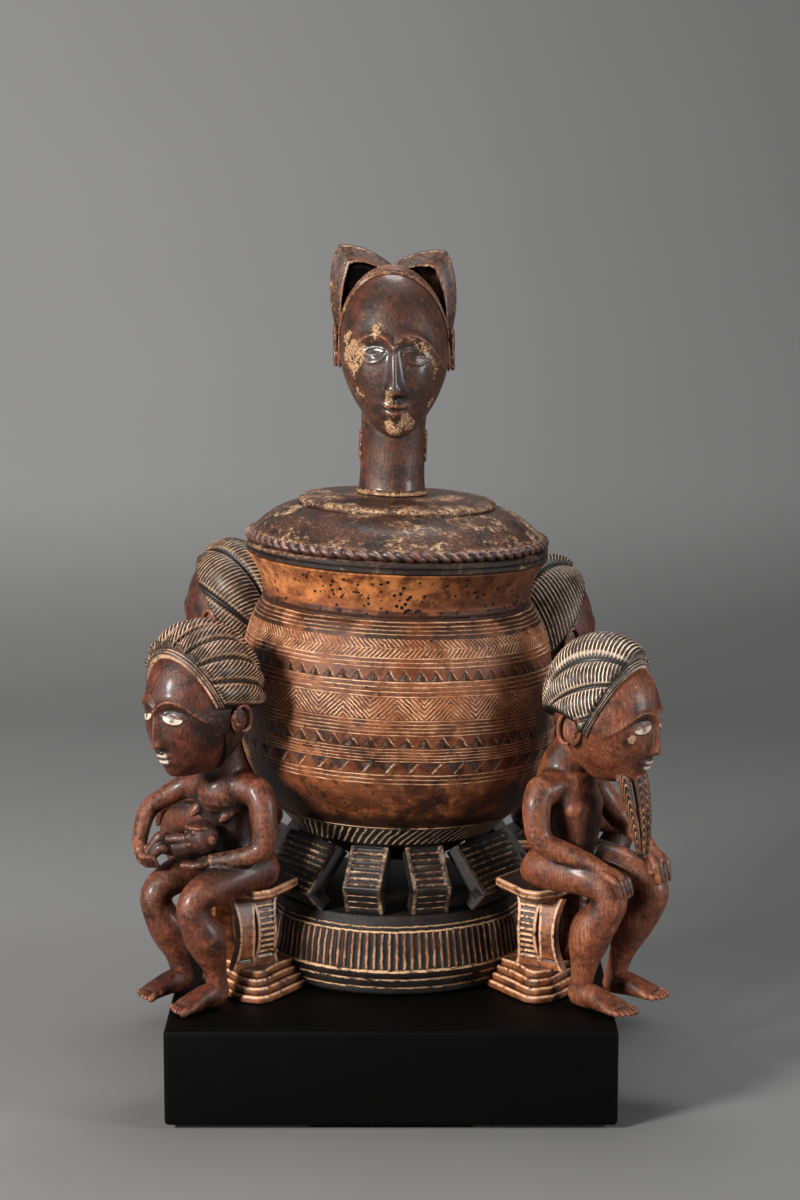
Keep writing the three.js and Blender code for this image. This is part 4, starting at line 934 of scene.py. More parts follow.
def dense(profile, step):
    """A polyline with extra points so that no stretch is longer than step."""
    profile = np.asarray(profile, float)
    rows = [profile[:1]]
    for a, b in zip(profile[:-1], profile[1:]):
        count = max(int(math.ceil(np.linalg.norm(b - a) / step)), 1)
        rows.append(a + (b - a) * np.linspace(0, 1, count + 1)[1:, None])
    return np.vstack(rows)


def block(half_x, half_y, low, high, edge, corner):
    """A block with rounded corners in plan and eased edges: rounded rectangles stacked along a
    quarter-circle, a straight side and another quarter-circle."""
    turn = np.linspace(0, math.pi / 2, 7)

    def outline(inset):
        radius = max(corner - inset, 0.05)
        reach_x, reach_y = half_x - inset - radius, half_y - inset - radius
        arcs = []
        for quarter, (sx, sy) in enumerate(((1, 1), (-1, 1), (-1, -1), (1, -1))):
            angle = turn + quarter * math.pi / 2
            arcs.append(np.stack([sx * reach_x + radius * np.cos(angle),
                                  sy * reach_y + radius * np.sin(angle)], 1))
        return dense(np.vstack(arcs + [arcs[0][:1]]), 4.0)[:-1] if inset == 0 else np.vstack(arcs)

    levels = [(edge * (1 - math.sin(t)), low + edge * (1 - math.cos(t))) for t in turn]
    levels += [(edge * (1 - math.cos(t)), high - edge * (1 - math.sin(t))) for t in turn]
    plans = [np.vstack(outline(inset + 1e-6)) for inset, _ in levels]
    rings = [np.column_stack([plan, np.full(len(plan), z)]) for plan, (_, z) in zip(plans, levels)]
    return loft(np.array(rings))


def foot_skin():
    """Stepped and fluted foot: three swelling rings, 112 ribs on the sloping band, a double edge
    and a shallow cone, turned round the axis."""
    profile = dense([(30, 0.2), (66.6, 0.2), (67.6, 0.9), (69.0, 1.8), (69.2, 4.2), (68.9, 5.0),
                     (69.9, 5.7), (70.6, 9.0), (70.2, 9.8), (71.4, 10.6), (72.0, 13.6),
                     (71.4, 14.6), (71.7, 15.4), (70.9, 20), (69.6, 28), (68.2, 33.8), (67.5, 34.2),
                     (67.6, 34.9), (66.7, 35.6), (66.9, 36.6), (66.0, 37.4), (64.5, 42.1),
                     (52, 42.2), (30, 42.2)], 1.1)
    profile[:, 1] += FOOT_Z

    def ribs(angle, height):
        up = height - FOOT_Z
        on_band = ramp(up, 14.8, 16.5) * (1 - ramp(up, 32.6, 34.0)) * (profile[:, :1] > 66)
        hand = 0.25 * np.sin(3 * angle + 1) + 0.18 * np.sin(7 * angle + height * 0.3)
        return 0.35 * on_band * np.cos(FLUTES * angle + 0.5 * np.sin(5 * angle)) + hand

    return lathe(profile, FLUTES * 7, ribs, FOOT_Z)


def ladder_bar(line, width, thick, first, pitch, rungs, rail=2.4, cut=1.2, flare=0.0, samples=0.45):
    """A bar bent along line (x out, z up) with a ladder cut into its outer face. Each ring goes
    round the bar: the outer face from side to side, then the inner face back. Between the rails
    the face sinks by cut, except on the rungs, which stand every pitch along the line."""
    line = dense(line, samples)
    count = len(line)
    along = np.concatenate([[0], np.cumsum(np.linalg.norm(np.diff(line, axis=0), axis=1))])
    share = np.linspace(-1, 1, count)
    half = width / 2 + flare * np.abs(share) ** 3
    across = np.concatenate([np.linspace(-1, 1, 40), [1.0, 1.0], np.linspace(1, -1, 10),
                             [-1.0, -1.0]])
    depth = np.concatenate([np.zeros(40), [0.33, 0.67], np.ones(10), [0.67, 0.33]])
    y = across[None] * half[:, None]
    place = (along[:, None] - first) / pitch
    near = np.abs(place - np.round(place)) * pitch
    on_rung = (1 - ramp(near, 0.4, 0.85)) * (np.round(place) >= 0) * (np.round(place) < rungs)
    panel = 1 - ramp(np.abs(y), half[:, None] - rail - 0.4, half[:, None] - rail)
    panel = panel * ramp(along, first - 1.4, first - 0.9)[:, None]
    last = first + pitch * rungs
    panel = panel * (1 - ramp(along, last - 0.7, last - 0.2))[:, None]
    face = (depth == 0)[None] & (np.abs(across) < 1)[None]
    sink = cut * panel * (1 - on_rung) * face
    corner = np.where(np.abs(across)[None] > 0.985, 0.35, 0.0)
    tangent = np.gradient(line, axis=0)
    tangent /= np.linalg.norm(tangent, axis=1, keepdims=True)
    normal = np.column_stack([tangent[:, 1], -tangent[:, 0]])
    inwards = sink + corner * (depth == 0) + thick * depth
    rings = np.stack([line[:, :1] - inwards * normal[:, :1], y,
                      line[:, 1:2] - inwards * normal[:, 1:]], -1)
    rail_edge = 1 - ramp(np.abs(np.abs(y) - (half[:, None] - rail * 0.5)), rail * 0.25, rail * 0.5)
    rubbed = face * np.maximum(panel * on_rung, rail_edge * 0.7)
    return loft(rings, marks={"rubbed": rubbed})


def strut_skin(azimuth, width, elbow_radius, elbow_height, upper, lower):
    """A bent strut: foot, elbow and top on its outer line, with rungs above and below the elbow."""
    low = np.array([63.2, 0.1])
    elbow = np.array([elbow_radius, elbow_height])
    top = np.array([53.0, 33.4])
    down = np.linalg.norm(elbow - low)
    up = np.linalg.norm(top - elbow)
    pitch = up / (upper + 1)
    line = [low, elbow - (elbow - low) * 0.06, elbow + (top - elbow) * 0.04, top]
    bar = ladder_bar(line, width, 7.4, down + pitch * 0.8, pitch, upper)
    pitch = down / (lower + 1)
    steps = ladder_bar([low, elbow], width - 0.1, 2.0, pitch * 0.9, pitch, lower)
    strut = merged([bar, shifted(steps, 0.12, 0, 0)])
    return shifted(strut, 0, 0, STRUT_Z - FOOT_Z).moved(seated(azimuth))


def collar_skin():
    """Dished collar: a flaring side with a rounded rim, hollow inside to hold the bowl, and a
    quarter-oval underside that hangs between the struts."""
    turn = np.linspace(0.1, math.pi / 2, 20)
    dish = np.column_stack([41.8 * np.sin(turn), 0.2 - 17.9 * np.cos(turn)])
    inside = [(bowl_radius(h) + 0.5, 5.4 + h) for h in np.linspace(7.3, 0, 8)]
    profile = dense([*dish, (53.6, 0.1), (54.4, 0.9), (57.5, 4.6), (61.5, 8.6), (64.2, 11.4),
                     (64.5, 12.4), (64.0, 12.9), *inside, (49, 5.3), (20, 5.2)], 0.8)
    profile[:, 1] += COLLAR_Z
    return lathe(profile, 320, lambda a, h: 0.2 * np.sin(4 * a) + 0.12 * np.sin(9 * a + 1),
                 COLLAR_Z).moved(leaned)


# BOWL AND LID

def bowl_radius(height):
    """Outer radius at a height above the bowl's base: two oval sweeps meet at the belly and a
    hollow curve flares to the rim."""
    height = np.asarray(height, float)
    low = 50 + 34.7 * (1 - np.clip((BELLY - height) / BELLY, 0, 1) ** 2.5) ** 0.61
    high = 71.8 + 12.9 * (1 - np.clip((height - BELLY) / 55, 0, 1) ** 2) ** 0.79
    above, away = height > 121, np.abs(height - 121)
    flare = 71 + np.where(above, 8.5 * (away / 20.2) ** 1.8, 0.8 * (away / 5) ** 1.8)
    return np.where(height < BELLY, low, np.where(height < 116, high, flare))


def bowl_skin():
    """The bowl turned from its outer curve, a rounded lip and an inner wall, with the neck's
    groove cut in and a slow hand-made unevenness."""
    height = np.concatenate([np.linspace(0.3, 12, 14), np.arange(12.6, 140.4, 0.7)])
    radius = bowl_radius(height) - 1.1 * bell(height, NECK_GROOVE, 0.9)
    lip = [(79.3, 140.6), (79.0, 141.0), (78.2, 141.2), (70.5, 141.2), (69.3, 141.0), (69.0, 140.2),
           (69.0, 132.4)]
    inner_height = np.linspace(128.8, 14, 26)
    wall = bowl_radius(inner_height) - 6.8
    wall = wall * (0.86 + 0.14 * (1 - np.exp(-(inner_height - 13) / 8)))
    profile = np.vstack([[(25, 0.2)], np.column_stack([radius, height]), lip,
                         np.column_stack([wall, inner_height]), [(45, 13.2), (15, 13)]])
    profile[:, 1] += BOWL_Z

    def uneven(angle, z):
        return (0.22 * np.sin(2 * angle + 0.6) + 0.14 * np.sin(5 * angle + z * 0.04)
                + 0.07 * np.sin(11 * angle - z * 0.13 + 1.3) + 0.05 * np.sin(23 * angle + z * 0.31))

    return lathe(profile, 288, uneven, BOWL_Z).moved(leaned)


def lid_skin():
    """The lid turned from its spigot, band, curved slope and disc; the disc's edge is notched."""
    share = np.linspace(0, 1, 34)
    curve = 10.5 + 15.3 * share ** 0.92 + 2.4 * np.sin(share * math.pi)
    slope = np.column_stack([77.6 + (53.0 - 77.6) * share, np.minimum(curve, 25.8)])
    profile = np.vstack([
        dense([(20, -7.9), (67.2, -7.9), (68.2, -7.0), (68.2, 0.1), (79.2, 0.1), (79.8, 0.7),
               (79.9, 2.3), (79.3, 2.9), (79.9, 3.5), (79.9, 5.4), (79.2, 6.1), (76.5, 6.3),
               (76.0, 9.8)], 1.6),
        slope,
        dense([(52.2, 25.6), (51.6, 25.8), (51.9, 26.6), (52.0, 27.8), (51.5, 28.8), (50.0, 29.5),
               (43, 30.3), (36, 31.1), (28, 31.55), (20, 31.65)], 1.1),
    ])
    radius, rise = profile.T.copy()
    ridge = (bell(rise, 28.2, 1.2) * (radius > 45) + bell(radius, 77.4, 1.2) * (rise > 9)
             + 0.6 * bell(rise, 5.2, 0.9) * (radius > 78))
    hollow = (bell(radius, 52.4, 0.7) * bell(rise, 25.8, 0.8)
              + bell(rise, 2.9, 0.5) * (radius > 78))
    profile[:, 1] += LID_Z
    columns = LID_NOTCHES * 6

    def notches(angle, z):
        edge = bell(z - LID_Z, 28.5, 1.1) * (profile[:, :1] > 50)
        notch = np.maximum(0, np.cos(LID_NOTCHES * angle + 0.6 * np.sin(6 * angle))) ** 2
        return -0.75 * edge * notch + 0.15 * np.sin(3 * angle + 2) + 0.08 * np.sin(8 * angle)

    skin = lathe(profile, columns, notches)
    for name, rows in (("ridge", ridge), ("hollow", hollow)):
        rows = np.clip(rows, 0, 1)
        skin.marks[name] = np.concatenate([np.repeat(rows, columns), [0, 0]])
    return skin.moved(leaned)


def rope_skin():
    """The rope moulding: a ring whose round section is notched by slanting grooves, two to each
    of its rope turns."""
    angle = np.linspace(0, TAU, 1161)[:-1, None]
    turn = np.arange(16)[None] / 16 * TAU
    phase = ROPE_TURNS * angle + turn + 0.4 * np.sin(5 * angle)
    groove = 1 - np.abs(np.cos(phase))
    radius = 2.8 - 1.5 * groove ** 2
    ring = 77.7 + radius * np.cos(turn)
    z = LID_Z + 8.9 + radius * 0.95 * np.sin(turn)
    rows = np.stack([ring * np.cos(angle), ring * np.sin(angle), z + 0 * ring], -1)
    # The 'ridge' mark lays a painted highlight on the upper side of each lobe.
    light = ramp(np.sin(2 * phase + 0.5), 0.3, 0.95) * bell(turn, 1.2, 1.1)
    marks = {"ridge": light + 0 * ring, "hollow": ramp(groove, 0.55, 0.9) + 0 * ring}
    return ring_loft(rows, marks).moved(leaned)


def ring_loft(rows, marks):
    """A skin that closes on itself both ways, such as a ring."""
    count, sides = rows.shape[:2]
    i, j = cells(count, sides)
    n, k = (i + 1) % count, (j + 1) % sides
    quads = np.stack([i * sides + j, n * sides + j, n * sides + k, i * sides + k], 1)
    uv = np.stack([np.stack([i, j], 1), np.stack([i + 1, j], 1), np.stack([i + 1, j + 1], 1),
                   np.stack([i, j + 1], 1)], 1) / np.array([count, sides])
    full = {name: values.ravel() for name, values in marks.items()}
    return Skin(rows.reshape(-1, 3), quads, np.zeros((0, 3), int), uv, np.zeros((0, 3, 2)),
                full).turned_out()


# STOOLS

def plan_outline(corners, count):
    """A convex outline [out, side] walked at even steps, its corners rounded by averaging."""
    closed = np.vstack([corners, corners[:1]])
    reach = np.concatenate([[0], np.cumsum(np.linalg.norm(np.diff(closed, axis=0), axis=1))])
    at = np.linspace(0, reach[-1], count, endpoint=False)
    outline = np.column_stack([np.interp(at, reach, closed[:, k]) for k in range(2)])
    for _ in range(int(PLAN_ROUNDING * count / reach[-1])):
        outline = 0.5 * outline + 0.25 * (np.roll(outline, 1, 0) + np.roll(outline, -1, 0))
    return outline


def slab_skin(corners, levels, marks):
    """Level outlines stacked at [inset, height]; each is the plan drawn towards its middle."""
    count = 150
    outline = plan_outline(np.asarray(corners, float), count)
    middle = outline.mean(0)
    away = outline - middle
    length = np.linalg.norm(away, axis=1, keepdims=True)
    rings = []
    for inset, height in levels:
        plan = middle + away * np.clip(1 - inset / length, 0.02, 1)
        rings.append(np.column_stack([plan, np.full(count, height)]))
    full = {name: np.repeat(np.asarray(v, float)[:, None], count, 1) for name, v in marks.items()}
    return loft(np.array(rings), marks=full)


def stool_skins(azimuth):
    """One stool: a chamfered, dished seat, four bowed legs, the inner two with ladder panels, a
    core column and a base of four steps, each a slab with an eased upper edge."""
    seat_plan = [(69.8, -11.8), (95, -25.8), (104, -25), (109.8, -14), (109.8, 14), (104, 25),
                 (95, 25.8), (69.8, 11.8)]
    seat_levels = [(20, 51.6), (7, 51.6), (4.2, 51.9), (1.6, 53.6), (0.5, 54.8), (0.1, 55.2),
                   (0, 55.5), (0, 56.1), (0, 57.3), (0.1, 57.9), (0.5, 58.4), (1.4, 58.8),
                   (2.2, 58.7), (4, 58.2), (7, 57.8), (12, 57.6), (18, 57.5)]
    top = [0, 0, 0, 0, 0, 0, 0, 0, 0, 0, 0, 0.2, 1, 1, 1, 1, 1]
    rub = [0, 0, 0, 0, 0.2, 0.8, 0.8, 0.1, 0.1, 0.5, 0.9, 0.6, 0, 0, 0, 0, 0]
    skins = [slab_skin(seat_plan, seat_levels, marks={"seat_top": top, "rubbed": rub})]
    base_plan = np.array([(66, -14), (98.4, -28.8), (104.7, -28.2), (110.8, -20), (110.8, 20),
                          (104.7, 28.2), (98.4, 28.8), (66, 14)])
    step = 3.8
    for i in range(STOOL_STEPS):
        inset, low = 2.5 * i, step * i
        levels = [(inset + 6, low + 0.05), (inset + 0.6, low + 0.05), (inset + 0.1, low + 0.4),
                  (inset, low + 1.2), (inset, low + step - 1.3), (inset + 0.1, low + step - 0.8),
                  (inset + 0.45, low + step - 0.3), (inset + 0.9, low + step),
                  (inset + 1.5, low + step + 0.01), (inset + 9, low + step + 0.02)]
        # The second mark darkens the joins between steps as painted shade.
        marks = {"rubbed": [0, 0, 0, 0, 0, 0.3, 1, 0.9, 0, 0],
                 "crevice": [1, 1, 0.8, 0.2, 0, 0, 0, 0, 0.1, 1]}
        skins.append(slab_skin(base_plan, levels, marks))
    column = [(90, 0, z, radius) for z, radius in (
        (14, 8.5), (22, 6.4), (34, 5.8), (45, 6.4), (53, 8.5))]
    skins.append(tube(column, 28, 24))
    for place, rungs in ((91, 10), (103, 0)):
        for side in (-1, 1):
            height = np.linspace(0, 1, 9)
            bow = 10 + 5.0 * np.sin(math.pi * height) + 1.5 * (2 * height - 1) ** 4
            line = np.column_stack([bow, 14.4 + height * 38.6])
            width, samples = (11.5, 0.45) if rungs else (9.5, 1.5)
            leg = ladder_bar(line, width, 4.3, 5.5, 3.1, rungs, rail=1.9, cut=0.8, flare=3.0,
                             samples=samples)
            points = np.column_stack([place + leg.points[:, 1], side * leg.points[:, 0],
                                      leg.points[:, 2]])
            skins.append(leg.moved(lambda _, points=points: points).turned_out())
    return [skin.moved(seated(azimuth)) for skin in skins]


# HEADS

def headed(place, nod, turn):
    """Sends head coordinates (forward, left, up from the head's middle) to the place of a head."""
    return lambda p: swung(p, nod, turn) + np.array(place)


# Bare wood on the face of the lid: place across (-1 to 1), place up (-1 to 1), reach, strength
LID_FLAKES = ((-0.29, 0.3, 0.16, 0.64), (-0.77, -0.09, 0.18, 0.7), (-0.7, -0.45, 0.13, 0.62),
              (-0.85, 0.2, 0.15, 0.62), (-0.6, 0.07, 0.17, 0.6), (0.55, 0.07, 0.18, 0.58),
              (0.8, -0.17, 0.18, 0.62), (0.76, -0.57, 0.17, 0.6), (-0.13, -0.47, 0.14, 0.64),
              (0.03, -0.92, 0.18, 0.6), (-0.16, -0.78, 0.15, 0.6), (0.22, -0.7, 0.14, 0.54),
              (0.38, -0.8, 0.15, 0.56), (0.5, 0.64, 0.06, 0.6), (0.3, 0.2, 0.14, 0.5))


def face_skin(size, whitened=False, patches=()):
    """A carved head on plain proportions, forward +X: an oval whose lower half narrows to the
    jaw, with soft swellings for brow, eyelids, nose, lips and chin. The grid is closer over the
    face. size is (half width, half depth, half height)."""
    width, depth, height = size
    s = np.linspace(-1, 1, 168)[1:-1, None]
    t = np.linspace(-1, 1, 201)[None, :-1]
    rise = math.pi / 2 * (0.6 * s + 0.4 * s ** 3)
    turn = math.pi * (0.42 * t + 0.58 * t ** 3)
    x, y, up = np.cos(rise) * np.cos(turn), np.cos(rise) * np.sin(turn), np.sin(rise) + 0 * turn
    low = np.clip(-up, 0, 1)
    out = np.where(x < 0, x * (1 - 0.5 * low ** 1.2), x)
    facing = ramp(x, 0.1, 0.5)
    side = np.abs(y)
    brow = 0.24 - 1.1 * (side - 0.34) ** 2
    nose = np.clip((0.14 - up) / 0.52, 0, 1)
    end = ramp(up, -0.48, -0.4)
    lid_side = (side - 0.36) / 0.2
    lid_up = (up - 0.005 + 0.03 * lid_side) / 0.085
    almond = np.sqrt(np.clip(1 - lid_side ** 2, 0, 1)) * np.where(lid_up > 0, 1.0, 0.85)
    opening = np.abs(lid_up) - almond
    in_eye = (1 - ramp(opening, -0.12, 0.0)) * (np.abs(lid_side) < 1)
    below_lid = 1 - ramp(lid_up, 0.12, 0.24)
    swell = (0.045 * bell(up, brow, 0.06)
             + 0.016 * bell(up, brow + 0.01, 0.02) * ramp(side, 0.05, 0.14)
             - 0.08 * bell(side, 0.36, 0.2) * bell(up, 0.06, 0.12)
             + 0.06 * bell(side, 0.36, 0.15) * bell(up, 0.0, 0.07)
             + 0.012 * bell(opening, 0.02, 0.14) * (np.abs(lid_side) < 1.15)
             + 0.014 * in_eye * (1 - below_lid)
             + (0.05 + 0.12 * nose) * nose ** 0.2 * bell(y, 0, 0.06 + 0.07 * nose) * end
             + 0.05 * bell(side, 0.115, 0.05) * bell(up, -0.36, 0.06)
             - 0.03 * bell(side, 0.07, 0.035) * bell(up, -0.455, 0.025)
             + 0.065 * bell(y, 0, 0.24) * (bell(up, -0.56, 0.04) + bell(up, -0.655, 0.045))
             - 0.035 * bell(up, -0.606 + 0.25 * y ** 2, 0.013) * bell(y, 0, 0.2)
             - 0.015 * bell(y, 0, 0.03) * bell(up, -0.5, 0.04)
             + 0.08 * bell(y, 0, 0.25) * bell(up, -0.88, 0.12)
             + 0.025 * bell(side, 0.5, 0.2) * bell(up, -0.25, 0.2))
    rings = np.stack([depth * (out + 0.06 * low * (x > 0) + (swell + 0.26 * low ** 2.5) * facing),
                      width * y * (1 - 0.3 * low ** 1.5), height * up], -1)
    pupil = bell(lid_side, 0.05, 0.3) * bell(lid_up, -0.1, 0.55)
    dark = (0.5 * bell(opening, 0.12, 0.1) * (np.abs(lid_side) < 1.1)
            + in_eye * below_lid * pupil * 0.9
            + 0.7 * bell(up, -0.606 + 0.25 * y ** 2, 0.01) * bell(y, 0, 0.2)
            + 0.6 * bell(side, 0.07, 0.03) * bell(up, -0.45, 0.02))
    marks = {"dark": np.clip(dark, 0, 1) * facing}
    if whitened:
        lips = (bell(up, -0.56, 0.035) + bell(up, -0.65, 0.038)) * (1 - ramp(side, 0.14, 0.2))
        white = in_eye * below_lid * (1 - pupil) * 1.2 + ramp(lips, 0.55, 0.85) * 0.85
        marks["white"] = np.clip(white, 0, 1) * facing
    if patches:
        flake = sum(weight * bell(y, a, r) * bell(up, b, r) for a, b, r, weight in patches)
        marks["flake"] = np.clip(flake, 0, 0.66) * facing
    return loft(rings, marks=marks)


def ear_skins(width, side, reach=(5.2, 9.0), back=4.0, drop=4.0):
    """An ear on one side of a head of that half width: a rim carried round most of an oval and
    curling in at the top front, over a thin oval shell."""
    centre = np.array([-back, side * (width + 0.2), -drop])
    a, b = reach
    angle = np.radians([-25, 10, 45, 80, 115, 150, 185, 215, 240, 262])
    swirl = np.array([0.35, 0.72, 0.95, 1, 1, 1, 0.98, 0.95, 0.9, 0.8])
    radius = np.array([0.7, 0.9, 1.15, 1.3, 1.3, 1.25, 1.2, 1.15, 1.2, 1.0])
    rim = np.column_stack([a * swirl * np.cos(angle), side * (1.4 + 0.5 * np.sin(angle / 2) ** 2),
                           b * swirl * np.sin(angle), radius])
    rim[:, :3] += centre
    shell = oval(centre - np.array([0, side * 0.4, 0]), (a * 0.95, 1.5, b * 0.95))
    knob = oval(centre + np.array([a * 0.35, side * 0.9, -b * 0.25]), (1.4, 1.1, 2.0), 10, 14)
    return [tube(rim, 14, 70), shell, knob]


def coiffure(size, lobes, slant, tilt=24, front=(0.50, 0.86), ear=(-0.30, 0.0), base=1.6,
             pitch=1.75, seam=0.07, bare=None):
    """Combed hair behind a hairline. Directions run on meridians of an oval whose back pole lies
    low at the nape; each pair of meridians in lobes [(from, to, height)], in degrees from the
    left ear over the crown to the right, bounds one lobe that swells between them. The hair ends
    where a plane through the front and ear points cuts it, with a ridged band along that edge,
    and round an ear bare = (forward, up, half length, half height).
    Strands are ripples that count along the meridian, slanted across each lobe."""
    width, depth, height = size
    band = 4.2
    t = math.radians(tilt)
    forward = np.array([math.cos(t), 0, math.sin(t)])
    over = np.array([-math.sin(t), 0, math.cos(t)])
    direction = np.array([front[0] - ear[0], 0, front[1] - ear[1]])
    normal = np.array([direction[2], 0, -direction[0]]) / np.linalg.norm(direction)
    level = normal @ np.array([ear[0], 0, ear[1]])
    lean = np.linspace(-90, 270, 265)[None, :]
    sin_lean, cos_lean = np.sin(np.radians(lean)), np.cos(np.radians(lean))
    a, b = normal @ forward, sin_lean * (normal @ over)
    stop = np.arctan2(a, b) + np.arcsin(np.clip(level / np.hypot(a, b), -0.999, 0.999))
    stop = np.clip(stop, 0.12, math.pi - 0.15)
    share = np.linspace(0.02, 1, 166)[:, None]
    angle = share * stop
    point = (-np.cos(angle)[..., None] * forward + (np.sin(angle) * sin_lean)[..., None] * over
             + (np.sin(angle) * cos_lean)[..., None] * np.array([0, 1.0, 0]))
    reach = (width + height) / 2
    to_edge = (stop - angle) * reach
    thick = np.zeros_like(angle) - 1.5
    across = np.zeros_like(angle)
    combed = np.zeros_like(angle)
    seams = np.zeros_like(angle)
    for low, high, swell in lobes:
        place = np.clip((lean - low) / (high - low), 0, 1)
        inside = ((lean >= low) & (lean <= high)) * np.ones_like(angle)
        hump = np.sin(math.pi * place) ** 0.55
        taper = 0.45 + 0.55 * np.sin(math.pi * np.clip(share * 0.85 + 0.1, 0, 1)) ** 0.8
        thick = np.where(inside > 0, base + swell * hump * taper, thick)
        across = np.where(inside > 0, place - 0.5, across)
        combed = np.where(inside > 0, 1.0, combed)
        edge = np.minimum(place, 1 - place)
        seams = np.where(inside > 0, 1 - ramp(edge, seam * 0.5, seam), seams)
    low, high = lobes[0][0], lobes[-1][1]
    ends = ramp(lean, low - 6, low) * (1 - ramp(lean, high, high + 6))
    thick = thick * (combed > 0) + np.where(combed > 0, 0, -1.5 + (base + 1.5) * ends)
    in_band = (1 - ramp(to_edge, band - 0.3, band)) * ends
    rims = in_band * np.cos(to_edge / band * 3 * TAU)
    thick = thick * (1 - in_band) + (base + 0.6 + 0.3 * rims) * in_band - (1 - ends) * in_band * 1.5
    thick = thick * (1 - ramp(0.3 - to_edge, 0, 0.3) * 0.6)
    if bare:
        away = np.hypot((point[..., 0] - bare[0]) / bare[2], (point[..., 2] - bare[1]) / bare[3])
        open_ear = 1 - ramp(away, 0.8, 1.0)
        thick = thick * (1 - open_ear) - 6 * open_ear
        seams = np.maximum(seams, 1 - ramp(away, 1.0, 1.12))
    strand = angle * reach / pitch + slant * across * 6
    combed = combed * (1 - in_band) * (1 - seams)
    thick = thick + 0.24 * np.cos(TAU * strand) * combed
    outward = point / np.array([depth, width, height])
    outward /= np.linalg.norm(outward, axis=-1, keepdims=True)
    rings = point * np.array([depth, width, height]) + outward * thick[..., None]
    uv = np.stack([across, strand], -1)
    rim = np.clip(in_band * ramp(rims, 0.2, 0.8), 0, 1) * ends
    beside_seam = 1 - ramp(np.abs(np.abs(across) - 0.5 + seam * 1.5), 0.01, 0.03)
    rim = np.maximum(rim, beside_seam * (combed > 0.5) * 0.7)
    seams = np.clip(seams + bell(to_edge, band + 0.5, 0.5) * ends, 0, 1)
    marks = {"combed": combed[:, :-1], "seam": seams[:, :-1], "rim": rim[:, :-1]}
    return loft(rings[:, :-1], uv, marks)


def even_lobes(low, high, heights):
    """Lobes of equal width between two meridians, with the given heights."""
    edges = np.linspace(low, high, len(heights) + 1)
    return list(zip(edges[:-1], edges[1:], heights))


def plait(points):
    """A lock of beard: a tapering tube, grooved by strands that slant to and fro round it:
    strand number = length / 4.2 + 3.4 |sin(1.5 angle + 0.4)|."""
    line = spline(points, 90)
    path, radius = line[:, :3], np.maximum(line[:, 3], 0.3)
    _, across, up = path_frames(path)
    along = np.concatenate([[0], np.cumsum(np.linalg.norm(np.diff(path, axis=0), axis=1))])
    turn = np.arange(49) / 48 * TAU
    strand = along[:, None] / 4.2 + 3.4 * np.abs(np.sin(turn[None] * 1.5 + 0.4))
    swell = radius[:, None] * (1 + 0.07 * np.cos(TAU * strand))
    section = swell[..., None] * np.stack([np.cos(turn), np.sin(turn)], -1)[None]
    uv = np.stack([turn[None] / TAU + 0 * strand, strand], -1)
    return loft(carried(path, across, up, section)[:, :-1], uv,
                {"combed": np.ones_like(strand[:, :-1]), "seam": 0 * strand[:, :-1],
                 "rim": 0 * strand[:, :-1]})


# FIGURES

def foot_skins(heel, toe, half):
    """A bare foot, heel and toe given as (out, side): a wedge that widens to the ball, a heel, and
    five toes side by side."""
    heel, toe = np.array(heel, float), np.array(toe, float)
    ahead = (toe - heel) / np.linalg.norm(toe - heel)
    beside = np.array([-ahead[1], ahead[0]])
    length = np.linalg.norm(toe - heel)

    def at(share, offset, up):
        spot = heel + ahead * share * length + beside * offset
        return spot[0], spot[1], up

    sections = spline([(0.06, 4.4, 5.5, 10.0), (0.2, 5.2, 6.4, 13.0), (0.4, 5.6, 6.2, 12.0),
                       (0.6, 6.6, 5.0, 9.6), (0.76, 7.5, 3.8, 7.2), (0.84, 7.2, 3.0, 5.4)], 26)
    angle = np.arange(28) / 28 * TAU
    rings = []
    for share, wide, middle, tall in sections:
        centre = heel + ahead * share * length
        y = np.sign(np.cos(angle)) * np.abs(np.cos(angle)) ** 0.85 * wide * half / 7
        z = np.maximum(middle + tall / 2 * np.sin(angle), 0.4)
        rings.append(np.stack([centre[0] + beside[0] * y, centre[1] + beside[1] * y, z], -1))
    skins = [loft(np.array(rings)), oval(at(0.12, 0, 5.2), (5.2, 5.2, 5.0))]
    for offset, reach, radius in ((-6.2, 0.92, 1.35), (-3.3, 0.97, 1.4), (-0.4, 1.0, 1.45),
                                  (2.5, 1.0, 1.5), (5.9, 0.99, 2.1)):
        skins.append(tube([(*at(0.8, offset * 0.9, 3.4), radius), (*at(0.9, offset, 3.0), radius),
                           (*at(reach - 0.03, offset, 2.2), radius * 0.95)], 12, 10))
    return skins


def hand_skins(wrist, knuckle, tip, across, width, radius=1.55, thumb=None):
    """A hand laid over something: a flat palm from wrist to knuckles and four fingers that bend
    over to the tips. across is the direction along the knuckles."""
    wrist, knuckle, tip = (np.array(v, float) for v in (wrist, knuckle, tip))
    across = np.array(across, float) / np.linalg.norm(across)
    middle = (wrist + knuckle) / 2
    near_knuckle = knuckle - (knuckle - wrist) * 0.1
    skins = [tube([(*wrist, radius * 1.9), (*middle, radius * 2.3),
                   (*near_knuckle, radius * 2.0)], 16, 14)]
    for offset in np.linspace(-0.5, 0.5, 4) * (width - 2 * radius):
        bend = (knuckle + tip) / 2 + (knuckle - wrist) * 0.06
        points = [(*(spot + across * offset * share), radius * size) for spot, share, size in (
            (wrist, 0.45, 1.15), (knuckle, 1, 1.2), (bend, 1, 1.05), (tip, 1, 0.8))]
        skins.append(tube(points, 12, 16))
    if thumb is not None:
        thumb = np.array(thumb, float)
        skins.append(tube([(*(wrist + (thumb - wrist) * 0.2), radius * 1.4),
                           (*((wrist + thumb) / 2), radius * 1.3), (*thumb, radius)], 12, 12))
    return skins


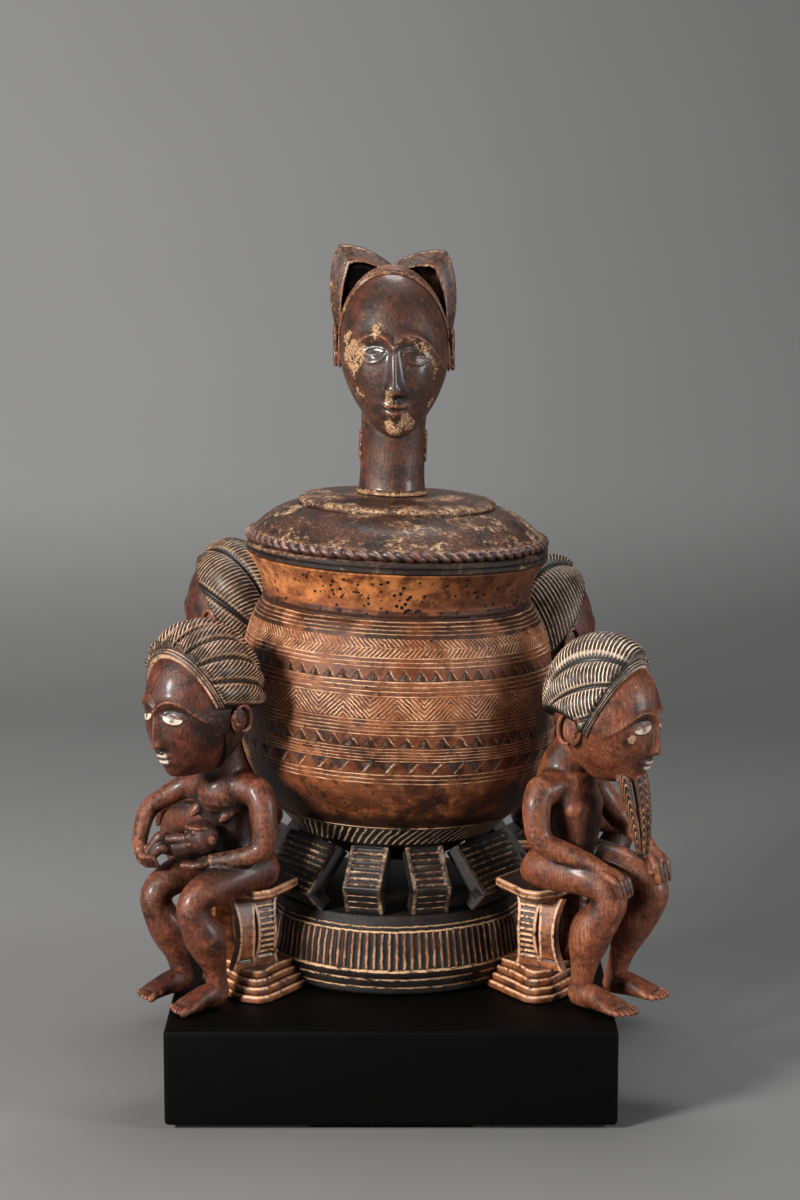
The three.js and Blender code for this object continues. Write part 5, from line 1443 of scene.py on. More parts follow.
# Sides and samples of a figure's tubes
SHOULDERS, NECK, BREAST = (26, 30), (26, 24), (16, 18)
ARM, LEG, LONG_LEG = (22, 60), (24, 60), (24, 64)


def mother_body():
    """The mother: slender trunk, shoulders turned a little to one side, arms round to the
    infant, bent legs with full calves."""
    core = [trunk([(97, 0, 58.6, 12, 17.5), (97.5, 0, 64, 14, 18.8), (99.5, 0, 72, 13, 16.2),
                   (102, -2, 80, 11.4, 14.2), (104.4, -3, 89, 11, 14.8), (106, -4, 97, 11, 16.6),
                   (107.5, -3, 104, 10.8, 16.8), (108, -1, 110, 9.8, 15),
                   (107.5, -0.5, 116, 8.4, 11), (107.5, 0, 121, 8, 9)])]
    core += [tube([(116.5, -18.5, 108.6, 7.4), (112.5, -9, 110.4, 8.6), (107.5, 0, 111.6, 9.4),
                   (103.5, 10, 111.4, 9), (100.3, 20, 109.6, 7.9)], *SHOULDERS),
             oval((95, -10, 66), (11, 10.5, 9)), oval((94, 10, 66), (11, 10.5, 9))]
    core += [tube([(108, -9, 104, 5.8), (113.5, -10, 100.5, 4.8), (118.5, -10.6, 96.6, 3),
                   (121, -10.6, 94.6, 1.4)], *BREAST),
             tube([(102, 8.6, 104, 5.8), (107.5, 9, 100.5, 4.8), (112.5, 9.2, 96.6, 3),
                   (115, 9.2, 94.6, 1.4)], *BREAST)]
    core += [tube([(97, -12, 67, 11.5), (110, -15, 66.2, 10.9), (124, -16, 63, 9.9),
                   (134.5, -16, 59.2, 8.7), (140, -16, 53, 8.1), (138, -16, 45, 8.6),
                   (133.4, -16, 36.5, 10), (130, -16, 28, 8.8), (127.4, -16, 20, 6.3),
                   (125.4, -16, 12, 5.7), (124, -16, 7, 5.6)], *LEG),
             oval((141.6, -16, 55.4), (5, 6.4, 7)),
             tube([(95, 12, 67, 11.5), (108, 15, 66, 10.9), (122, 16.5, 63, 9.9),
                   (132, 17, 60, 8.8), (137, 17, 54, 8.2), (135, 17, 46, 9.0),
                   (130.4, 17, 38, 10.7), (126.8, 17, 29, 9.2), (124.4, 17, 20.5, 6.4),
                   (123, 17, 12, 5.7), (122, 17, 7, 5.6)], *LEG),
             oval((138.4, 17, 56.4), (5, 6.4, 7))]
    core += [tube([(117.5, -19.4, 108.8, 7.0), (121.5, -22.5, 106.2, 6.3), (128, -25.8, 102, 5.6),
                   (134, -27.8, 98.4, 5.3), (137.8, -28, 94.6, 5.0), (141, -26.4, 89.4, 4.6),
                   (145, -22.6, 82.4, 4.2), (147, -18.5, 78, 3.9)], *ARM),
             tube([(100.2, 20.8, 110, 7.9), (99.9, 25, 104.6, 7.4), (100.3, 27.6, 96, 6.9),
                   (100.8, 28.4, 88, 6.4), (102.4, 27.8, 82, 5.9), (108, 24.4, 78.4, 5.4),
                   (116, 18, 76, 4.7), (122.4, 12.6, 75, 4.3)], *ARM)]
    core += [tube([(107, 0, 108, 15), (106.6, 0.3, 115, 13.6), (107.4, 0.6, 121.5, 11.2),
                   (109.6, 1.2, 131, 10.2), (113, 2, 141, 10.8)], *NECK)]
    fine = foot_skins((122, -16.1), (151.4, -11.0), 7.2)
    fine += foot_skins((120.3, 17.3), (150, 20.6), 7.2)
    fine += hand_skins((146.8, -18.4, 78), (147.4, -15.2, 73.8), (143, -9.6, 73), (0.5, 0.2, 0.85),
                       8.5, thumb=(144.5, -15, 79.8))
    fine += hand_skins((121.4, 13.4, 75.4), (127.5, 8.5, 73.0), (132.5, 2.0, 72.6),
                       (0.75, 0.6, 0.1), 10, radius=1.75, thumb=(123.5, 8.5, 78))
    return core, fine


def elder_body():
    """The elder: long back, arms resting along the thighs, fingers laid over the knees."""
    core = [trunk([(100, 0, 58.6, 12, 17.5), (100.5, 0, 65, 14.5, 18), (104.2, 0, 74, 14.5, 15),
                   (108.5, 0, 83, 13.8, 13.4), (110.5, 0, 92, 13, 13.6), (111.2, 0, 100, 12.8, 15),
                   (109.6, 0, 107, 12.2, 16), (107.4, 0, 113, 10.6, 15), (106, 0, 118, 9.4, 12),
                   (105.5, 0, 123, 8.6, 10)])]
    core += [tube([(103.2, -20.3, 110, 8.2), (105.6, -10, 112.4, 9.4), (106.6, 0, 113.4, 10),
                   (106.8, 10, 112.4, 9.4), (106, 20.3, 110, 8.2)], *SHOULDERS),
             oval((97, -10, 66.5), (11.5, 10.5, 9.5)), oval((97, 10, 66.5), (11.5, 10.5, 9.5)),
             oval((115.5, -8, 101), (6.5, 7.5, 6.5)), oval((115.5, 8, 101), (6.5, 7.5, 6.5))]
    core += [tube([(100, -13, 68.6, 11.5), (112, -15, 69.4, 11.0), (126, -16, 68.6, 10.2),
                   (137, -16, 64.6, 9.2), (141.4, -16, 58, 8.8), (137.6, -16, 50, 9.6),
                   (131.6, -16, 42, 11.2), (128.6, -16, 33, 10.2), (126.8, -16, 24, 7.6),
                   (125.8, -16, 17, 6.2), (124.4, -16, 11, 5.9), (123.4, -16, 7, 5.8)], *LONG_LEG),
             oval((142.8, -16, 60.4), (5.6, 6.8, 7.5)),
             tube([(100, 13, 68.6, 11.5), (114, 15, 69.2, 11.0), (130, 15, 67.6, 10.1),
                   (143, 15, 63.4, 9.2), (148.6, 15, 57, 8.6), (145.4, 15, 49, 9.2),
                   (139.4, 15, 41.4, 10.6), (135.4, 14.7, 33, 9.4), (132.4, 14.4, 25, 7.2),
                   (130.4, 14, 18, 6.0), (128.4, 13.7, 11, 5.7), (127.4, 13.4, 7, 5.6)], *LONG_LEG),
             oval((149.6, 15, 59.6), (5.4, 6.8, 7.2))]
    core += [tube([(103, -21, 111, 8.1), (102.9, -25, 104.6, 7.6), (104, -26.8, 96, 7.0),
                   (106, -27, 88.4, 6.6), (110.4, -25.8, 84, 6.2), (119, -22.8, 81, 5.7),
                   (130.5, -19.6, 76.8, 4.9), (138.4, -17.9, 73.2, 4.2)], *ARM),
             tube([(106.4, 21, 111, 8.1), (109.5, 25.6, 104.5, 7.2), (114.5, 28.6, 96.4, 6.6),
                   (120.5, 29, 89.4, 6.2), (129.5, 26.5, 85.8, 5.6), (138.5, 22, 82, 4.8),
                   (145.2, 18.4, 77.8, 4.1)], *ARM)]
    core += [tube([(105.4, 0, 110, 16.5), (105.4, 0, 117, 15), (106.2, 0, 123.5, 12.6),
                   (110, 0, 130, 11.4), (115, 0, 137, 11.6)], *NECK)]
    fine = foot_skins((119.3, -15.4), (157.2, -22.0), 7.7)
    fine += foot_skins((122.8, 12.6), (156.8, 13.9), 7.7)
    fine += hand_skins((138.0, -17.6, 73.6), (146.8, -16.4, 69.8), (150.4, -15.8, 62.0), (0, 1, 0),
                       14.5, radius=1.75, thumb=(146.2, -8.4, 66.5))
    fine += hand_skins((144.8, 18.2, 78), (151.6, 16.8, 73.0), (154.8, 16, 63.4), (0, 1, 0), 14.5,
                       radius=1.75, thumb=(151.4, 8.8, 69))
    return core, fine


def upright_body(lift, sway, lean):
    """A figure at the back: sits upright with its hands on its knees. lift raises the shoulders,
    sway moves them sideways and lean forwards."""
    def up(rows):
        rows = np.asarray(rows, float)
        share = ramp(rows[:, 2], 66, 118)[:, None]
        return rows + share * np.array([lean, sway, lift] + [0] * (rows.shape[1] - 3))

    core, fine = [], []
    core += [trunk(up([(100, 0, 58.6, 12, 17.5), (100.5, 0, 65, 14, 18.5), (103, 0, 75, 13, 15.5),
                       (106, 0, 86, 11.6, 13.4), (108, 0, 96, 11.6, 15), (109, 0, 106, 12.2, 18.2),
                       (109, 0, 113, 10.8, 18), (109, 0, 119, 8.4, 11.5),
                       (109, 0, 124, 7.6, 8.5)]))]
    core.append(tube(up([(106, -20.3, 112, 7.9), (107.5, -10, 114.4, 9.2), (108, 0, 115.4, 10),
                         (107.5, 10, 114.4, 9.2), (106, 20.3, 112, 7.9)]), *SHOULDERS))
    for s in (-1, 1):
        core.append(oval((97, 10 * s, 66.5), (11.5, 10.5, 9.5)))
        core += [tube([(100, 13 * s, 68.5, 11.5), (113, 15 * s, 68.8, 11.0),
                       (125, 16 * s, 67.6, 10.2), (136, 16 * s, 63, 9), (140, 16 * s, 56, 8.4),
                       (136.4, 16 * s, 48, 9.2), (131, 16 * s, 40.5, 10.7), (128, 16 * s, 32, 9.6),
                       (126, 16 * s, 23.5, 7.2), (124.6, 16 * s, 16, 6),
                       (122.6, 16 * s, 8, 5.6)], *LEG),
                 oval((141.4, 16 * s, 58), (5.2, 6.6, 7.2))]
        core.append(tube(up([(106, 21 * s, 113, 7.8), (104, 26 * s, 105, 7), (104, 28 * s, 94, 6.4),
                             (107, 27.6 * s, 85, 6), (115, 25 * s, 81.5, 5.6),
                             (126, 21.4 * s, 78.4, 5), (137, 18 * s, 73.4, 4.1)]), 22, 50))
        fine += foot_skins((120, 15.5 * s), (151.1, 17.9 * s), 7.4)
        fine += hand_skins((136.8, 18 * s, 73.6), (144.8, 16.8 * s, 68.8), (148.4, 16.4 * s, 59.4),
                           (0, 1, 0), 12, radius=1.8)
    core.append(tube(up([(107.5, 0, 117, 10.6), (109, 0, 126, 10), (110.5, 0, 138, 10),
                         (112, 0, 148, 10.4)]), *NECK))
    return core, fine


# The elder's beard plaits: rows of (out, side, up, radius)
BEARD = (
    [(139.0, -5.4, 131, 2.6), (141.8, -6.4, 122, 3.2), (144.6, -6.2, 111, 3.1),
     (147.6, -4.4, 96, 2.3), (149.8, -2, 80.5, 1.0)],
    [(144.4, -0.4, 131, 2.6), (147.0, -0.4, 121, 3.0), (149.2, -0.2, 110, 2.9), (150.8, 0, 96, 2.1),
     (151.4, 0.2, 79.6, 1.0)],
    [(142.4, 5, 131, 2.6), (145.6, 6.2, 121, 3.1), (148.4, 5.6, 110, 3.0), (151.0, 4.0, 96, 2.2),
     (152.2, 2.4, 79.8, 1.0)],
)


def infant_skins():
    """The infant: a round head on the mother's forearm, a small body and drawn-up legs."""
    head = oval((126, 8, 87.6), (8.8, 9.0, 8.8))
    features = [oval(centre, radii, 8, 12) for centre, radii in (
        ((132.8, 5.6, 90.8), (1.9, 2.0, 1.3)), ((132.2, 11.4, 91), (1.9, 2.0, 1.3)),
        ((134.4, 8.6, 88.2), (1.6, 1.4, 2.0)), ((133.6, 8.6, 84.8), (1.7, 2.7, 1.1)),
        ((125, -0.9, 87), (2.4, 1.3, 2.8)), ((125, 16.8, 87.4), (2.4, 1.3, 2.8)))]
    features.append(oval((128.4, 8.2, 93.4), (6.4, 7.2, 2.2), 10, 20))
    body = tube([(126.5, 2, 82.6, 4.8), (129, -3.5, 81, 5.6), (132, -8, 79.8, 5.2),
                 (134.4, -11, 79.4, 4.4)], 18, 22)
    legs = [tube([(133, -9.5, 80.6, 4.0), (136.5, -10.5, 84, 3.7), (139.4, -11, 85.2, 3.4),
                  (142, -12.4, 82, 2.9), (144.6, -14.2, 77.8, 2.5),
                  (145.6, -14.8, 75.4, 2.3)], 14, 30),
            tube([(132, -11, 78.4, 3.8), (137, -8.6, 79.6, 3.5), (140.4, -9.2, 80, 3.1),
                  (142.6, -11.6, 77, 2.6), (143.6, -13.4, 74.6, 2.2)], 14, 26)]
    arm = tube([(130.4, -1, 85.2, 2.9), (133.8, -4, 85.2, 2.6), (136.4, -7.6, 84.4, 2.2)], 12, 16)
    return [head, *features, body, *legs, arm]


def add_head(figure, place, size, nod, turn, wood, hair, ears, **look):
    """Adds a head to a figure: the face with its ears, and the coiffure."""
    at = headed(place, nod, turn)
    seat = seated(FIGURES[figure])
    skins = [face_skin(size, **look).moved(at).moved(seat)]
    for side in (-1, 1):
        skins += [ear.moved(at).moved(seat) for ear in ear_skins(size[0], side, **ears)]
    mesh = marked_head(to_mesh(merged(skins), f"{figure}_face"))
    add_piece(mesh, f"{figure}_face", wood, "stand", [figure])
    add_piece(hair.moved(at).moved(seat), f"{figure}_hair", hair_wood(*HAIR[figure]), "stand",
              [figure])


def add_body(figure, core, fine, wood):
    """Adds a figure's carved body: the trunk and limbs are eased a lot, hands and feet a little."""
    sizes = bpy.context.scene.cup_sizes
    for part, group, grain, rounds in (("body", core, sizes.carving_grain, sizes.sanding),
                                       ("hands_feet", fine, sizes.carving_grain * 0.6, 3)):
        placed = [skin.moved(seated(FIGURES[figure])).turned_out() for skin in group]
        mesh = carved(placed, f"{figure}_{part}", grain, rounds)
        add_piece(mesh, f"{figure}_{part}", wood, "stand", [figure])


# THE HEAD ON THE LID

def on_lid(points):
    """Places lid-head coordinates (forward, left, up from the neck's foot): forward goes to -Y,
    and the head leans with the lid."""
    tilt = math.atan(LEAN)
    x, y, z = points[..., 1], -points[..., 0], points[..., 2]
    return np.stack([x * math.cos(tilt) + z * math.sin(tilt) - 3, y,
                     z * math.cos(tilt) - x * math.sin(tilt) + HEAD_Z + 0.3 + LEAN * 3], -1)


def tipped(points):
    """The head and crest stand a little upright against the neck's lean."""
    level = 0 * points[..., 2]
    return points + np.stack([level, -0.05 * (points[..., 2] - HEAD_UP) - 1.2, level], -1)


def neck_skins():
    """The neck: a lathe with a flared foot, and three raised welts on each side."""
    profile = dense([(4, 0.1), (18.4, 0.1), (18.8, 0.6), (18.5, 1.6), (17.6, 3.0), (17.1, 8),
                     (16.7, 22), (16.9, 36), (17.6, 50), (16, 58), (5, 60)], 0.8)
    neck = lathe(profile, 120, lambda a, h: 0.25 * np.sin(2 * a) + 0.15 * np.sin(5 * a + h * 0.1))
    neck.marks["flake"] = 0.44 * bell(neck.points[:, 2], 1.2, 1.6) + 0.2
    skins = [neck]
    for side in (-1, 1):
        for up in (20.5, 25.5, 30.5):
            for place in (-0.16, 0.14):
                angle = side * (math.pi / 2 + place)
                centre = (16.9 * math.cos(angle), 16.9 * math.sin(angle), up + place * 6)
                skins.append(oval(centre, (1.7, 1.3, 2.6), 12, 16))
    return skins


def crest_skin():
    """The crest: a plume whose outline rises to two points over a notch. Rings run from the
    pocket's floor along its wall to the inner outline, over a mitred frame to the outer one,
    round the bulging sides and in at the back. Both outlines have as many points between the
    same corners, so the frame is mitred at the tips."""
    def outline(rows, top):
        right = [np.array(rows[:top]), np.array(rows[top - 1:])]
        pieces = []
        for piece, count in zip(right, (90, 170)):
            reach = np.concatenate([[0], np.cumsum(np.linalg.norm(np.diff(piece, axis=0), axis=1))])
            at = np.linspace(0, reach[-1], count, endpoint=False)
            pieces.append(np.column_stack([np.interp(at, reach, piece[:, k]) for k in range(2)]))
        half = np.vstack(pieces)
        left = half[1:][::-1] * np.array([-1, 1])
        left[:, 1] += 1.1 * ramp(left[:, 0], -4, -22) * ramp(left[:, 1], 100, 119)
        return np.vstack([half, left])

    outer = outline([(0, 118.8), (4, 121.8), (9, 124.5), (15, 126.5), (22, 127.6), (28, 127.4),
                     (30.6, 122.0), (32.4, 114.5), (33.1, 106), (32.8, 97), (31, 87), (27.5, 76),
                     (22, 66), (14, 57), (5, 53)], 6)
    inner = outline([(0, 115.4), (5, 117.2), (10, 118.6), (14, 119.4), (19, 119.4), (22.4, 118.0),
                     (24.2, 113), (25.8, 106.5), (27.0, 100), (27.4, 93.5), (26.6, 85), (24, 75),
                     (19.5, 66.5), (13, 58.5), (5, 54.5)], 6)
    middle = np.array([0, CREST_MIDDLE])
    rows = [(middle + (inner - middle) * scale, 2.0 - back, rim, hollow)
            for scale, back, rim, hollow in ((0.86, 13.4, 0, 1), (0.93, 13.2, 0, 1),
                                             (0.985, 12, 0, 1), (0.995, 8, 0, 1),
                                             (1, 3.2, 0, 0.9), (1.0, 0.4, 0.3, 0.3))]
    rows += [(inner + (outer - inner) * share, 2.0 - back, rim, 0) for share, back, rim in (
        (0.03, 0.0, 0.8), (0.1, 0.1, 1), (0.2, 0.7, 0.3), (0.35, 1.6, 0), (0.5, 2.6, 0),
        (0.65, 3.6, 0), (0.8, 4.6, 0.2), (0.9, 5.2, 0.7), (0.97, 5.6, 1), (1.0, 6.2, 0.9))]
    middle = np.array([0, CREST_MIDDLE + 2])
    for back in np.linspace(0, 1, 16):
        bulge = 1 + 0.012 * math.sin(math.pi * min(back * 2, 1))
        scale = math.sqrt(max(1 - max(back - 0.1, 0) ** 2.4 * 1.2, 0.02)) * bulge
        rows.append((middle + (outer - middle) * min(scale, 1.01), -5.0 - 24.5 * back,
                     0 if back else 0.5, 0))
    plans, forward, rims, pockets = zip(*rows)
    rings = [np.column_stack([np.full(len(plan), x), plan]) for plan, x in zip(plans, forward)]
    wing = 0.3 + 0.7 * ramp(outer[:, 1], 84, 104)
    # Ochre flakes of bare wood on the side walls; the left wall, which faces the key lamp, gets
    # more as painted light.
    wall = ramp(np.abs(outer[:, 0]), 24, 28.5) * np.where(outer[:, 0] < 0, 0.3, 0.12)
    rims, pockets = np.array(rims)[:, None], np.array(pockets)[:, None]
    ochre = pockets * ramp(outer[:, 0], 9, 15) * bell(outer[:, 1], 116, 12) * 0.6
    groove = (rims < 0.1) * (pockets < 0.1)
    marks = {"flake": ochre + 0.2 * pockets + np.maximum(rims * wing * 0.46, (1 - pockets) * wall),
             "dark": np.maximum(pockets * 0.72 * (1 - 1.7 * ochre), groove * 0.42)}
    return loft(np.array(rings), marks=marks)


def band_skins(size):
    """Fine cords laid over the crown from ear to ear."""
    width, depth, height = size
    skins = []
    for forward, radius in ((0.40, 0.8), (0.33, 0.6), (0.27, 0.6), (0.21, 0.6), (0.14, 0.95)):
        angle = np.linspace(math.radians(-8), math.radians(188), 60)
        x = forward * np.clip(np.sin(angle), 0, 1) ** 1.2 - 0.04
        reach = np.sqrt(1 - np.clip(x, 0, 1) ** 2)
        path = np.column_stack([x * depth, np.cos(angle) * reach * (width + 0.5),
                                np.sin(angle) * reach * (height + 0.4), np.full(60, radius)])
        skins.append(tube(path, 10, 120).marked("dark", 0.1).marked("flake", 0.42))
    return skins


# SETTINGS

class CupSizes(PropertyGroup):
    """Sizes that a user would change."""

    carving_grain: FloatProperty(
        name="Carving Grain", description="Cell size of the remesh that joins a figure's limbs",
        default=0.00085, min=0.0005, max=0.002, subtype="DISTANCE", unit="LENGTH")
    sanding: IntProperty(
        name="Sanding", description="Rounds of smoothing over the joins of a figure",
        default=9, min=0, max=20)


class CupColours(PropertyGroup):
    """Colours that a user would change."""

    floor: FloatVectorProperty(
        name="Floor", description="Colour of the floor and backdrop", size=3, min=0, max=1,
        default=(0.322, 0.322, 0.322), subtype="COLOR")


# OPERATORS

class CUP_OT_plinth(Operator):
    """Builds the display plinth, its felt pads and the mounting pins"""
    bl_idname = "cup.plinth"
    bl_label = "Plinth"

    def execute(self, context):
        plinth = shifted(block(*PLINTH_HALF, 2.3, 52.0, 2.4, 2.4), PLINTH_OFFSET, 0, 0)
        add_piece(plinth, "display_block", black_paint(), "stand", ["plinth"])
        cloth, steel = felt(), pin_steel()
        for i, (sx, sy) in enumerate(((-1, -1), (1, -1), (-1, 1), (1, 1)), 1):
            pad = shifted(block(34, 15, 0.0, 2.0, 0.4, 1.5), sx * PAD_SPREAD[0] + PLINTH_OFFSET,
                          sy * PAD_SPREAD[1], 0)
            add_piece(pad, f"pad_{i}", cloth, "stand", [f"felt_pad_{i}"])
        rod = [(0.5, 0.1), (2.6, 0.1), (3, 0.5), (3, 41.5), (2.6, 41.9), (0.5, 41.9)]
        for i, x in enumerate((-PIN_SPREAD, PIN_SPREAD), 1):
            pin = shifted(lathe(dense(rod, 3), 24), x, 0, 30.3)
            add_piece(pin, f"pin_{i}", steel, "stand", [f"mounting_pin_{i}"])
        return {"FINISHED"}


class CUP_OT_pedestal(Operator):
    """Builds the foot, the eight struts and the collar"""
    bl_idname = "cup.pedestal"
    bl_label = "Pedestal"

    def execute(self, context):
        add_piece(foot_skin(), "fluted_foot", foot_wood(), "stand", ["foot"])
        wood = strut_wood()
        for kind, azimuths, shape in (("narrow", NARROW_STRUTS, (20.6, 69.8, 14.2, 6, 3)),
                                      ("wide", WIDE_STRUTS, (47.6, 71.8, 9.4, 8, 2))):
            for i, azimuth in enumerate(azimuths, 1):
                strut = strut_skin(azimuth, *shape)
                sharpened(add_piece(strut, f"{kind}_ladder_{i}", wood, "stand",
                                    [f"{kind}_strut_{i}"]), 50)
        add_piece(collar_skin(), "striped_collar", collar_wood(), "stand", ["collar"])
        return {"FINISHED"}


class CUP_OT_bowl(Operator):
    """Builds the bowl with its cut bands"""
    bl_idname = "cup.bowl"
    bl_label = "Bowl"

    def execute(self, context):
        add_piece(bowl_skin(), "carved_bowl", bowl_wood(), "stand", ["bowl"])
        return {"FINISHED"}


class CUP_OT_lid(Operator):
    """Builds the lid and its rope moulding"""
    bl_idname = "cup.lid"
    bl_label = "Lid"

    def execute(self, context):
        sharpened(add_piece(lid_skin(), "domed_lid", lid_wood(), "lid", ["lid"]), 40)
        add_piece(rope_skin(), "rope_moulding", rope_wood(), "lid", ["lid"])
        return {"FINISHED"}


class CUP_OT_lid_head(Operator):
    """Builds the neck, head, crest and hair cords on the lid"""
    bl_idname = "cup.lid_head"
    bl_label = "Lid Head"

    def execute(self, context):
        wood = skin_wood("lid_head_wood", (31, 17, 11), (70, 39, 24), (110, 66, 44),
                         whitened=False, red=0.3, coat=0.3)
        crest = skin_wood("crest_wood", (22, 16, 13), (48, 34, 26), (86, 62, 44),
                          flaky=0.08, whitened=False)
        size = (28.8, 31, 45)

        def head(p):
            return tipped(p + np.array([4, 0, HEAD_UP]))

        skins = [face_skin(size, patches=LID_FLAKES).moved(head)]
        for side in (-1, 1):
            skins += [ear.moved(head) for ear in ear_skins(size[0], side, (6.0, 11.0), 3.1, -1.5)]
        skins += [s.moved(head) for s in band_skins(size)]
        for name, parts, finish in (("lid_face", skins, wood), ("lid_neck", neck_skins(), wood),
                                    ("lid_crest", [crest_skin().moved(tipped)], crest)):
            mesh = to_mesh(merged([s.moved(on_lid).turned_out() for s in parts]), name)
            add_piece(marked_head(mesh), name, finish, "lid", ["lid_head"])
        return {"FINISHED"}


class CUP_OT_stools(Operator):
    """Builds the four stools"""
    bl_idname = "cup.stools"
    bl_label = "Stools"

    def execute(self, context):
        wood = stool_wood()
        for node, azimuth in SEATS.items():
            mesh = to_mesh(merged(stool_skins(azimuth)), f"carved_{node}")
            mark_relief(mesh)
            sharpened(add_piece(mesh, f"carved_{node}", wood, "stand", [node]), 40)
        return {"FINISHED"}


class CUP_OT_mother(Operator):
    """Builds the mother and her infant"""
    bl_idname = "cup.mother"
    bl_label = "Mother and Infant"

    def execute(self, context):
        # The mother's listed balls are painted shadow on her chest, her lap and the side of her
        # head.
        wood = skin_wood("mother_wood", (35, 16, 10), (85, 41, 26), (128, 67, 44),
                         painted_shadows=[(-84, -57, 142, 34), (-92, -74, 128, 24), (-92, -92, 201, 17)])
        add_body("mother", *mother_body(), wood)
        size = (24.5, 30, 36)
        lobes = even_lobes(4, 176, (4.8, 5.4, 5.8, 6.2, 6.4, 6.2, 5.8, 5.4, 4.8))
        hair = coiffure(size, lobes, slant=1.0, base=2.2, front=(0.6, 0.8), ear=(0.3, 0.05),
                        seam=0.09, pitch=2.7, tilt=12)
        add_head("mother", (124.5, 4, 156), size, 6, 14, wood, hair,
                 {"reach": (5.8, 7.4), "back": 4.4, "drop": 6}, whitened=True)
        dark = skin_wood("infant_wood", (28, 16, 13), (62, 33, 26), (98, 58, 44), whitened=False)
        seat = seated(FIGURES["mother"])
        placed = [s.moved(seat).turned_out() for s in infant_skins()]
        add_piece(carved(placed, "infant_body", 0.5 * MM, 4), "infant_body", dark, "stand",
                  ["infant"])
        return {"FINISHED"}


class CUP_OT_elder(Operator):
    """Builds the elder and the beard plaits"""
    bl_idname = "cup.elder"
    bl_label = "Elder"

    def execute(self, context):
        # The elder's listed ball is painted shadow on his chest.
        wood = skin_wood("elder_wood", (46, 23, 14), (118, 65, 41), (174, 108, 74),
                         painted_shadows=[(94, -56, 140, 27)])
        add_body("elder", *elder_body(), wood)
        size = (25, 28, 33.5)
        lobes = [(-24, 4, 4.2), (4, 30, 4.6), (30, 58, 4.8), (58, 122, 9.0), (122, 150, 4.8),
                 (150, 176, 4.6), (176, 204, 4.2)]
        hair = coiffure(size, lobes, slant=0.1, base=1.4, front=(0.54, 0.84), ear=(-0.02, -0.33),
                        bare=(-0.5, -0.55, 0.68, 0.66))
        add_head("elder", (129.3, 0, 149.7), size, 6, 2, wood, hair,
                 {"reach": (6.4, 9.4), "back": 6.8, "drop": 4}, whitened=True,
                 patches=((-0.6, -0.14, 0.11, 0.75),))
        plaits = [plait(row).moved(seated(FIGURES["elder"])).turned_out() for row in BEARD]
        add_piece(merged(plaits), "elder_beard", hair_wood(*HAIR["beard"]), "stand",
                  ["elder"])
        return {"FINISHED"}


class CUP_OT_back_figures(Operator):
    """Builds the two figures at the back"""
    bl_idname = "cup.back_figures"
    bl_label = "Back Figures"

    def execute(self, context):
        wood = skin_wood("back_wood", (34, 18, 14), (78, 40, 29), (112, 62, 44), whitened=False)
        leaves = even_lobes(-20, 200, (4.0, 5.0, 5.4, 5.0, 4.0))
        fan = [(-20, 84, 4.5), (84, 96, 7.5), (96, 200, 4.5)]
        for figure, stance, place, size, lobes, slant in (
            ("back_left_figure", (8, -2, 0), (116, -7, 179), (24, 26, 36), leaves, 0.9),
            ("back_right_figure", (1, 3, -2), (111, 11, 169), (23.5, 24, 35), fan, 0.35),
        ):
            add_body(figure, *upright_body(*stance), wood)
            hair = coiffure(size, lobes, slant, pitch=2.0)
            add_head(figure, place, size, 4, 0, wood, hair, {})
        return {"FINISHED"}


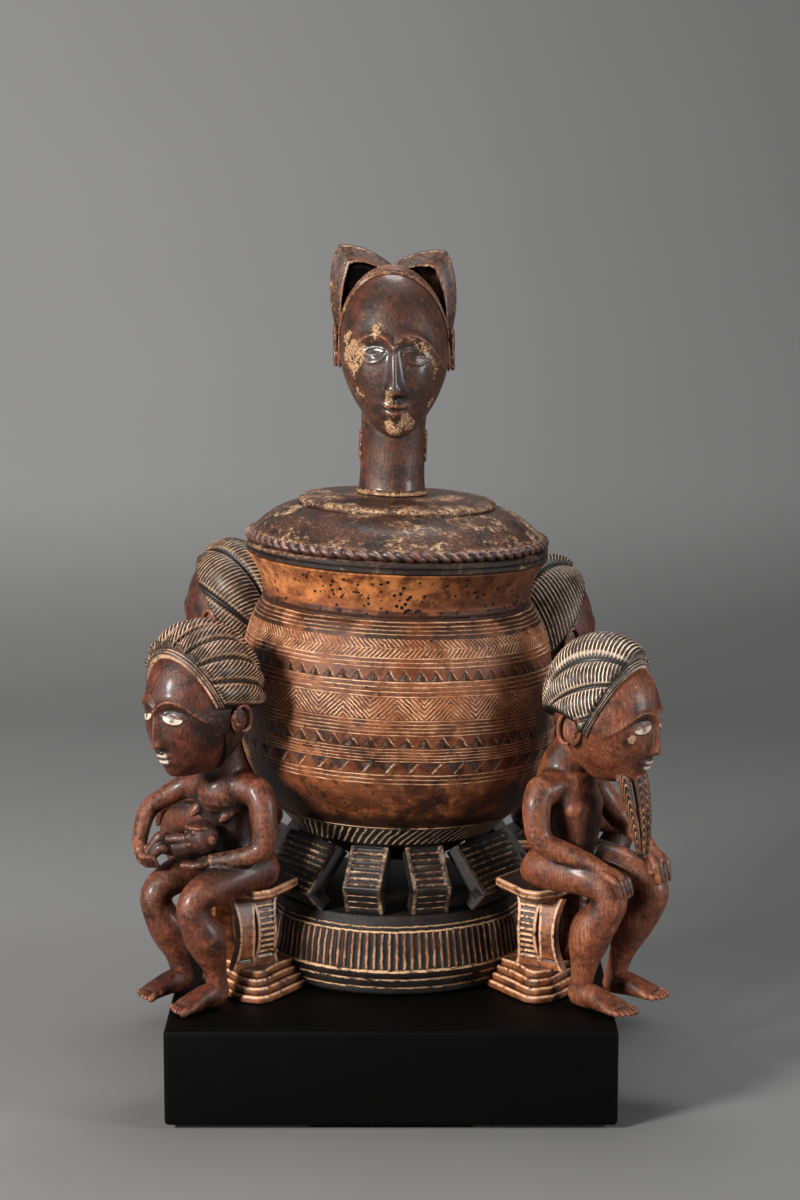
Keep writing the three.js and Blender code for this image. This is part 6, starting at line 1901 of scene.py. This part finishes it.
class CUP_OT_stage(Operator):
    """Lays the floor and backdrop and places the lamps and the camera"""
    bl_idname = "cup.stage"
    bl_label = "Stage"

    def execute(self, context):
        scene = context.scene
        across = np.linspace(-2600, 2600, 3)
        bend = np.linspace(0, math.pi / 2, 24)
        run = np.concatenate([[-3000, -1000, 0, 700], 900 + 700 * np.sin(bend), [1600]])
        rise = np.concatenate([[0, 0, 0, 0], 700 - 700 * np.cos(bend), [3200]])
        x, y = np.meshgrid(across, run)
        points = np.stack([x, y, np.repeat(rise[:, None], 3, 1)], -1).reshape(-1, 3) * MM
        i, j = cells(len(run) - 1, 2)
        faces = np.stack([i * 3 + j, i * 3 + j + 1, (i + 1) * 3 + j + 1, (i + 1) * 3 + j], 1)
        mesh = bpy.data.meshes.new("floor")
        mesh.from_pydata(points.tolist(), [], faces.tolist())
        mesh.shade_smooth()
        floor = bpy.data.objects.new("floor", mesh)
        scene.collection.objects.link(floor)
        f = Finish("floor")
        # Painted light and shade on the floor and backdrop: lighter to the left, darker to the
        # right and low down, with a painted shadow of the cup on the floor behind it to the right.
        grain = f.noise(260, 3.0)
        base = (*context.scene.cup_colours.floor, 1.0)
        soft = tuple(v * 0.4 for v in base[:3]) + (1.0,)
        x, y, z = f.spot()
        right, back, level = x.ramp(-700, 900), y.ramp(0, 300), 1 - z.ramp(0, 160)
        lit = 0.87 - 0.725 * right + back * (0.54 * right - 0.25)
        shade = right * 0.925 - 0.11 + grain * 0.1 + level * lit
        f.colour = f.blend(base, soft, shade)
        mesh.materials.append(f.done(0.85, Specular_IOR_Level=0.2))

        world = bpy.data.worlds.new("studio")
        world.use_nodes = True
        scene.world = world
        background = world.node_tree.nodes["Background"]
        background.inputs["Color"].default_value = WORLD_COLOUR
        background.inputs["Strength"].default_value = WORLD_STRENGTH
        for name, place, size, power, warmth in LAMPS:
            lamp = bpy.data.lights.new(name, "AREA")
            lamp.shape = "DISK"
            lamp.size = size * MM
            lamp.energy = power
            lamp.color = warmth
            holder = bpy.data.objects.new(name, lamp)
            scene.collection.objects.link(holder)
            holder.location = np.array(place) * MM
            away = holder.location - Vector(LAMP_AIM) * MM
            holder.rotation_euler = away.to_track_quat("Z", "Y").to_euler()

        view = bpy.data.cameras.new("view")
        view.lens = VIEW_LENS
        view.sensor_width = 36
        view.shift_x = VIEW_SHIFT
        camera = bpy.data.objects.new("view", view)
        scene.collection.objects.link(camera)
        pitch = math.radians(VIEW_PITCH)
        camera.location = (0, -VIEW_DISTANCE * math.cos(pitch) * MM,
                           (VIEW_HEIGHT + VIEW_DISTANCE * math.sin(pitch)) * MM)
        camera.rotation_euler = (math.pi / 2 - pitch, 0, 0)
        scene.camera = camera
        scene.view_settings.view_transform = "Standard"
        return {"FINISHED"}


class CUP_PT_panel(Panel):
    """Lists the steps that build the cup, with its settings"""
    bl_label = "Ointment Cup"
    bl_idname = "CUP_PT_panel"
    bl_space_type = "VIEW_3D"
    bl_region_type = "UI"
    bl_category = "Ointment Cup"

    def draw(self, context):
        layout = self.layout
        layout.prop(context.scene.cup_sizes, "carving_grain")
        layout.prop(context.scene.cup_sizes, "sanding")
        layout.prop(context.scene.cup_colours, "floor")
        for step in STEPS:
            layout.operator(step.bl_idname)


STEPS = [CUP_OT_plinth, CUP_OT_pedestal, CUP_OT_bowl, CUP_OT_lid, CUP_OT_lid_head, CUP_OT_stools,
         CUP_OT_mother, CUP_OT_elder, CUP_OT_back_figures, CUP_OT_stage]
CLASSES = [CupSizes, CupColours, *STEPS, CUP_PT_panel]


def register():
    for cls in CLASSES:
        bpy.utils.register_class(cls)
    bpy.types.Scene.cup_sizes = PointerProperty(type=CupSizes)
    bpy.types.Scene.cup_colours = PointerProperty(type=CupColours)


def unregister():
    del bpy.types.Scene.cup_colours
    del bpy.types.Scene.cup_sizes
    for cls in reversed(CLASSES):
        bpy.utils.unregister_class(cls)


def main():
    register()
    for step in STEPS:
        area, name = step.bl_idname.split(".")
        getattr(getattr(bpy.ops, area), name)()


if __name__ == "__main__":
    main()
